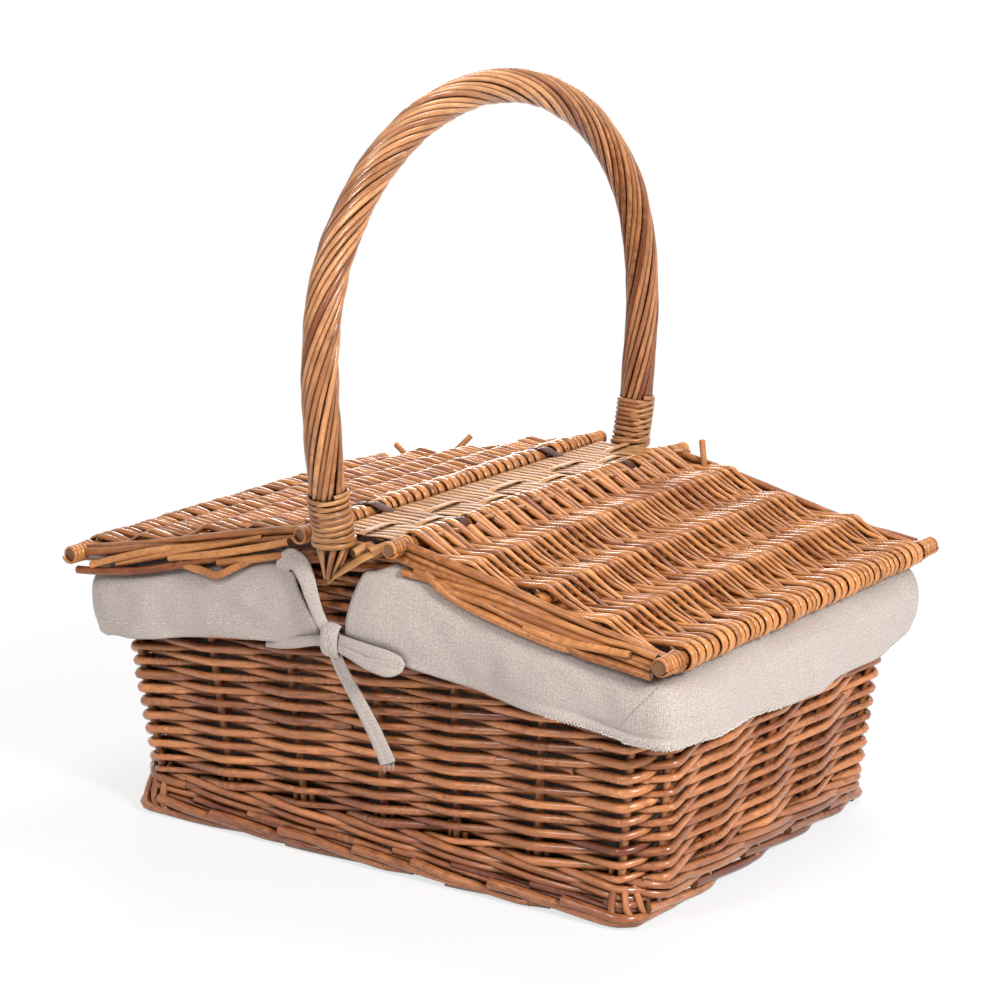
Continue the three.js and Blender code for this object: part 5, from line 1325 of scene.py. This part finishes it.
class BASKET_OT_liner(Operator):
    """Hangs the liner: a bag inside the walls and two cuffs turned down over the rim"""

    bl_idname = "basket.liner"
    bl_label = "Liner"

    def execute(self, context):
        material = liner_linen(context.scene.basket_colours)
        bag = self.bag()
        place_piece(bag, "basket", material, ["liner_bag"])
        for name, sign in (("left", -1), ("right", 1)):
            cuff, thread = self.cuff(context, name, sign)
            place_piece(cuff, "basket", material, [f"liner_cuff_{name}"])
        return {'FINISHED'}

    @staticmethod
    def area(piece):
        """The area of a piece of cloth, in square metres."""
        return sum(p.area for p in piece.data.polygons)

    @staticmethod
    def bag():
        """The bag: flat on the base, then up the walls to the rim, slack between the corners."""
        n = 193
        k = np.linspace(0, STAKES, n)
        inside, lift = -7.0, 0.8
        columns = []
        flat = wall_place(k, 20.0, inside)
        for share in np.linspace(0, 1, 6):
            columns.append(np.stack([flat[:, 0] * share, flat[:, 1] * share, np.full(n, WALL_BOTTOM + lift)],
                                    axis=1))
        top = rim_top(wall_place(k, END_MIDDLE, inside)[:, 0]) - 5.0
        corners = np.array([-0.5, 6.5, 11.5, 18.5, 23.5])
        beside = np.exp(-np.min(np.abs(k[:, None] - corners), axis=1) ** 2)
        for share in np.linspace(0.03, 1, 16):
            z = WALL_BOTTOM + lift + (top - WALL_BOTTOM - lift) * share
            sag = 9 + 3 * np.abs(ripple(k * 1.7, np.full(n, 6 * share), 3))
            slack = sag * math.sin(math.pi * share) ** 0.6
            columns.append(wall_place(k, z, inside - slack * (1 - 0.8 * beside)))
        return cloth_grid("liner_bag_cloth", np.stack(columns, axis=1))

    def cuff(self, context, name, sign):
        """A cuff: its line runs round half the rim, from the handle to the handle, and at each point of it
        the cloth comes up from inside, over the rim and down to the hem."""
        sizes = context.scene.basket_sizes
        straight = half_length(END_MIDDLE) - WALL_CORNER
        arc = math.pi / 2 * WALL_CORNER
        end_run = 2 * (half_width(END_MIDDLE) - WALL_CORNER)
        gaps = (22.0, 38.0) if sign > 0 else (38.0, 22.0)
        starts = [sign * HANDLE_X + each for each in gaps]
        total = 2 * straight - sum(starts) + 2 * arc + end_run
        travel = np.linspace(0, total, 280)
        mirrored = travel > straight - starts[0] + arc + end_run / 2
        run = np.where(mirrored, total - travel, travel)
        gap = np.where(mirrored, gaps[1], gaps[0])
        start = sign * HANDLE_X + gap
        side_run = straight - start
        end = half_length(END_MIDDLE)
        deep = half_width(END_MIDDLE)
        on_side = run <= side_run
        on_turn = (run > side_run) & (run <= side_run + arc)
        heading = np.where(on_side, 0, np.where(on_turn, (run - side_run) / WALL_CORNER, math.pi / 2))
        x_side = start + run
        y_side = -half_width(rim_top(x_side) - 6.0)
        x_turn = straight + WALL_CORNER * np.sin(heading)
        y_turn = -deep + WALL_CORNER * (1 - np.cos(heading))
        y_end = -(end_run / 2) + (run - side_run - arc)
        x = np.where(on_side, x_side, np.where(on_turn, x_turn, end))
        y = np.where(on_side, y_side, np.where(on_turn, y_turn, y_end))
        rise = np.power(np.clip(1 - x_side / end, 0, 1), 1.15)
        hem_corner, hem_end = 121.0, 114 + 7 * (2 * y_end / end_run) ** 2
        hem = np.where(on_side, hem_corner + 32 * rise, np.where(on_turn, hem_corner, hem_end))
        away = np.stack([np.sin(heading), -np.cos(heading)], axis=1)
        foot = np.stack([x, y], axis=1)
        flip = np.where(mirrored, -1.0, 1.0)
        foot[:, 1] *= flip
        away[:, 1] *= flip
        foot[:, 0] *= sign
        away[:, 0] *= sign

        crest = rim_top(foot[:, 0] + away[:, 0] * RIM_MIDDLE)
        drop = crest - hem
        steep = np.abs(away[:, 0])
        lean = LEAN_WIDTH + (LEAN_LENGTH - LEAN_WIDTH) * steep
        fold = 2.0 * np.sin(2 * math.pi * run / 96)
        rim_in, rim_out = -5.9, 10.9
        tilt = lambda out: -LID_SLOPE * steep * (out - RIM_MIDDLE)
        one = np.ones_like(crest)
        section = [
            (rim_in * one, crest - 5.2 + tilt(rim_in)),
            (rim_in * one, crest - 1.0 + tilt(rim_in)),
            ((rim_in + 3) * one, crest + 0.4 + tilt(rim_in + 3)),
            ((rim_out - 3) * one, crest + 0.4 + tilt(rim_out - 3)),
            (rim_out * one, crest - 2.0 + tilt(rim_out)),
            (rim_out + 7.2 + fold / 2, crest - 0.3 * drop),
            (rim_out + 12.0 + fold - 0.65 * drop * lean, crest - 0.65 * drop),
            (rim_out + 10.8 + 1.5 * fold - drop * lean, crest - drop),
        ]
        rows = 44
        grid = np.zeros((len(travel), rows, 3))
        for c in range(len(travel)):
            profile = np.array([(o[c], z[c]) for o, z in section])
            line = smooth_path(profile, rows)
            depth = np.clip((crest[c] - line[:, 1]) / drop[c], 0, 1)
            out = line[:, 0] + 0.7 * ease(0.02, 0.2, depth)
            z = line[:, 1] + 0.7 * (1 - ease(0.0, 0.1, depth))
            # Folds 34 mm wide, creases 13 mm wide and a hem that waves every 40 mm, unlike on the two cuffs
            s = travel[c] + 300 * (sign > 0)
            amount = 1000 * sizes.fold
            grow = depth ** 1.3
            out = out + amount * grow * ripple(np.full(rows, s / 34), depth * 1.3, 31)
            out = out + 0.9 * ease(0.1, 0.4, depth) * ripple(np.full(rows, s / 13), depth * 4, 32)
            z = z + 1.6 * grow * ripple(np.full(rows, s / 40), np.zeros(rows), 33)
            # Beside the handle the cloth is drawn down and towards the knot
            near = max(1 - run[c] / 60, 0)
            corner = 1 - ease(0, 26, run[c])
            out = out + corner * np.maximum(12.5 - out, 0)
            z = z - corner * np.maximum(z - (196 if gap[c] < 30 else 190), 0)
            pull = near * (12.0 * (1 - (1 - depth) ** 2.2) if gap[c] < 30 else 27.0 * depth ** 1.1)
            px = foot[c, 0] + away[c, 0] * out - sign * pull
            py = foot[c, 1] + away[c, 1] * out
            grid[c] = np.stack([px, py, z], axis=1)
        below = ease(1, 9, crest[:, None] - grid[..., 2])
        grid = grid + self.sharpen(sign, heading, mirrored, away)[:, None, :] * below[..., None]
        # The right cuff's hem is turned up near its front corner
        turned = np.exp(-((travel - side_run[0] - arc / 2) / 75) ** 2) if sign > 0 else 0 * travel
        band = np.zeros(rows)
        band[-6:] = (-0.9, -0.9, 0.5, 1.1, 1.2, 1.0)
        grid[..., :2] += (turned[:, None] * band)[..., None] * away[:, None, :]
        if sign < 0:
            grid = grid[::-1]
        cuff = cloth_grid(f"liner_cuff_{name}_cloth", grid)
        apply_modifier(cuff, 'SOLIDIFY', thickness=sizes.cloth, offset=0.0)
        return cuff, self.hem_thread(context, name, sign, grid)

    @staticmethod
    def sharpen(sign, heading, mirrored, away):
        """How far the cloth stands out at the right cuff's corners, with a seam sunk into the near one."""
        if sign < 0:
            return 0 * np.stack([heading] * 3, axis=1)
        share = 1 / np.maximum(np.cos(heading), np.sin(heading)) - 1
        seam = np.exp(-((heading - math.pi / 4) / 0.12) ** 2)
        push = np.where(mirrored, 9 * share, 26 * share - 1.2 * seam)
        return np.stack([away[:, 0] * push, away[:, 1] * push, 0 * push], axis=1)

    @staticmethod
    def hem_thread(context, name, sign, grid):
        """The thread of a cuff: overlock stitches round the right one's near corner and a stitched seam up
        it, and running stitches along the left one's hem."""
        rng = np.random.default_rng(51)
        thread = Bundle()
        edge, over = grid[:, -1], grid[:, -4]
        out = unit(np.stack([np.gradient(edge[:, 1]), -np.gradient(edge[:, 0]), np.zeros(len(edge))], axis=1))
        if np.sum(out[:, :2] * edge[:, :2]) < 0:
            out = -out
        if sign > 0:
            near_corner = np.array([220.0, -160.0])
            near = int(np.argmin(np.linalg.norm(edge[:, :2] - near_corner, axis=1)))
            part = slice(near - 26, near + 48)
            n = 190
            low = even_steps((edge + 0.8 * out)[part], n)
            high = even_steps((edge + 0.5 * (over - edge) + 0.8 * out)[part], n)
            turn = (np.arange(n) % 2)[:, None] * rng.uniform(0.4, 1.0, (n, 1))
            path = low + (high - low) * turn - np.array([0, 0, 0.5]) + rng.uniform(-0.3, 0.3, (n, 3))
            thread.strand(path, 0.36, ref=(0.3, 0.3, 1), sides=4, ends=False)
            rows = np.arange(16, grid.shape[1] - 5)
            lean = (5.0 * np.linspace(0, 1, len(rows)))[:, None]
            whole = lean.astype(int)
            here, next_one = grid[near - whole[:, 0], rows], grid[near - whole[:, 0] - 1, rows]
            seam = even_steps(here + (next_one - here) * (lean - whole) + 0.75 * out[near], 80)
            # The seam's stitches take a low tone: real stitches, darkened to grey as painted shadow of the
            # seam's crease
            for at in range(2, 74, 5):
                thread.strand(seam[at:at + 4], 0.26, ref=(0.3, -0.3, 0), sides=4, tone=0.1)
        else:
            line = even_steps(grid[:, -7] + 0.8 * out, 640)
            for at in range(30, 600, 7):
                thread.strand(line[at:at + 3], 0.22, ref=(0.3, 0.3, 1), sides=4)
        piece = thread.build(f"hem_thread_{name}")
        material = cotton_thread("cotton_thread", context.scene.basket_colours.thread)
        return place_piece(piece, "basket", material)


# The tail's route from the knot, as shares of its drop, and how far the cuff and the knot stand out
TIE_ROUTE = ((0.026, 0, -0.126), (0.066, 0.013, -0.224), (0.145, 0.053, -0.395), (0.224, 0.092, -0.566),
             (0.289, 0.132, -0.724), (0.355, 0.158, -0.882), (0.408, 0.171, -1.0))
TIE_DROP = 76.0
CUFF_STAND = 22.7
KNOT_STAND = 3.9
KNOT_OUT = half_width(KNOT_HEIGHT) + CUFF_STAND + KNOT_STAND


def tie_place(back, points):
    """Points beside the front knot, as points at the front or the back of the basket."""
    points = np.asarray(points, float) + np.array([0, -KNOT_OUT, KNOT_HEIGHT])
    if back:
        points = points * np.array([-1.0, -1.0, 1.0])
    return points + np.array([HANDLE_X, 0, 0])


class BASKET_OT_ties(Operator):
    """Ties the two cuffs together under the handle, front and back, each with a loop and a hanging tail"""

    bl_idname = "basket.ties"
    bl_label = "Ties"

    def execute(self, context):
        for name, back in (("front", False), ("back", True)):
            self.tie(context, name, back)
        return {'FINISHED'}

    def tie(self, context, name, back):
        """One tie: its knot, and its tail with a crease along it and a frayed end."""
        material = liner_linen(context.scene.basket_colours)
        turn = np.array([-1.0, -1.0, 1.0]) if back else np.ones(3)
        piece = self.knot(name, back, turn)
        place_piece(piece, "basket", material, [f"tie_{name}"])

        rng = np.random.default_rng(41)
        path = tie_place(back, smooth_path(np.array(TIE_ROUTE) * TIE_DROP, 30))
        tail = Bundle()
        facing = turn * np.array([0, -1.0, 0.2])
        spread = np.linspace(4.3, 5.8, 30)
        tail.strand(path, spread, 0.9, ref=facing, sides=12)
        across = turn * np.array([0.93, 0, 0.37])
        crease = path + facing * 0.8 - across * 0.5 * spread[:, None]
        tail.strand(crease, 0.48 * spread, 0.7, ref=facing, sides=8)
        for fray in np.linspace(-4.5, 4.5, 7):
            hang = np.array([rng.uniform(-1, 2), 0, -rng.uniform(2.5, 5.5)]) * turn
            strand = path[-1] + across * fray + np.linspace(-0.2, 1, 5)[:, None] * hang
            tail.strand(strand, 0.28, ref=facing, sides=4)
        piece = tail.build(f"tie_tail_{name}_strip")
        self.cloth_map(piece)
        place_piece(piece, "basket", material, [f"tie_tail_{name}"])

    def knot(self, name, back, turn):
        """The knot: a band round a core, a flat loop with its folded tip, and two strips from the cuffs."""
        knot = Bundle()

        def band(route, wide, thick, face, sides=10):
            """A flat band of cloth along a route, with its face turned one way."""
            knot.strand(tie_place(back, route), wide, thick, ref=turn * np.array(face), sides=sides)

        angle = np.linspace(math.radians(150), math.radians(-150), 30)
        hoop = np.stack([0.4 * np.sin(angle), -4.6 * np.cos(angle), 9.6 * np.sin(angle)], axis=1)
        band(hoop, 6.6, 1.5, (0, -1.0, 0), 14)
        core = np.stack([np.linspace(-8, 8, 14), np.full(14, 0.5), np.zeros(14)], axis=1)
        band(core, 6.0 * np.sin(np.linspace(0.5, 2.6, 14)), 4.2, (0, -1.0, 0), 12)
        loop = [(3, -1.5, 2.0), (16, -4.5, 1.4), (34, -6, -0.4), (47, -5, -2.4), (53, -4, -5.6),
                (47, -6.4, -9.6), (34, -7, -8.4), (18, -5.5, -4.6), (3, -2, -2.0)]
        loop_wide = 3.1 + 1.0 * np.sin(math.pi * np.linspace(0, 1, 70))
        band(smooth_path(loop, 70), loop_wide, 0.9, (0, -1.0, 0.15))
        tip = [(30, -6.6, -5.0), (40, -6.6, -5.6), (48, -6.0, -5.8), (53, -4.8, -5.8)]
        band(smooth_path(tip, 16), np.linspace(1.4, 3.0, 16), 0.8, (0, -1.0, 0.15))
        arch = [(-44, 8, 33), (-41, 5, 40), (-34, 2, 45), (-25, 0, 44), (-19, -1, 36), (-14.5, -1.5, 25),
                (-9, -1.5, 13), (-2, -1, 3)]
        arch_wide = np.interp(np.linspace(0, 1, 50), (0, 0.25, 0.45, 0.7, 1), (6.0, 6.6, 6.0, 4.6, 3.4))
        band(smooth_path(arch, 50), arch_wide, 0.9, (0.15, -1.0, 0.3))
        drawn = [(-58, 9, -12), (-44, 5, -10), (-30, 2, -7), (-16, -0.5, -3), (-3, -1, 0)]
        band(smooth_path(drawn, 36), np.linspace(4.4, 3.2, 36), 1.2, (0, -1.0, 0.5))
        piece = knot.build(f"tie_{name}_knot")
        self.cloth_map(piece)
        return piece

    @staticmethod
    def cloth_map(piece):
        """A strip's own map, in metres of cloth along it and round it."""
        way_round = 26 * MM
        rods = piece.data.uv_layers["rod_uv"]
        values = np.zeros(2 * len(piece.data.loops))
        rods.data.foreach_get("uv", values)
        values = values.reshape(-1, 2) * np.array([1.0, way_round])
        piece.data.uv_layers.new(name="cloth_uv").data.foreach_set("uv", values.ravel())


PIECES = (BASKET_OT_stage, BASKET_OT_ties, BASKET_OT_walls, BASKET_OT_stakes, BASKET_OT_foot,
          BASKET_OT_base, BASKET_OT_rim, BASKET_OT_handle, BASKET_OT_bridge, BASKET_OT_straps,
          BASKET_OT_lids, BASKET_OT_liner)


class BASKET_PT_panel(Panel):
    """Lists the basket's settings and pieces"""

    bl_idname = "BASKET_PT_panel"
    bl_label = "Picnic basket"
    bl_space_type = 'VIEW_3D'
    bl_region_type = 'UI'
    bl_category = "Basket"

    def draw(self, context):
        for settings in (context.scene.basket_sizes, context.scene.basket_colours):
            column = self.layout.column()
            for name in settings.__annotations__:
                column.prop(settings, name)
        for piece in PIECES:
            self.layout.operator(piece.bl_idname)


CLASSES = (BasketSizes, BasketColours, *PIECES, BASKET_PT_panel)


def register():
    for each in CLASSES:
        bpy.utils.register_class(each)
    bpy.types.Scene.basket_sizes = PointerProperty(type=BasketSizes)
    bpy.types.Scene.basket_colours = PointerProperty(type=BasketColours)


def unregister():
    del bpy.types.Scene.basket_colours
    del bpy.types.Scene.basket_sizes
    for each in reversed(CLASSES):
        bpy.utils.unregister_class(each)


def main():
    """Makes every piece in order."""
    register()
    for piece in PIECES:
        group, name = piece.bl_idname.split(".")
        getattr(getattr(bpy.ops, group), name)()


if __name__ == "__main__":
    main()
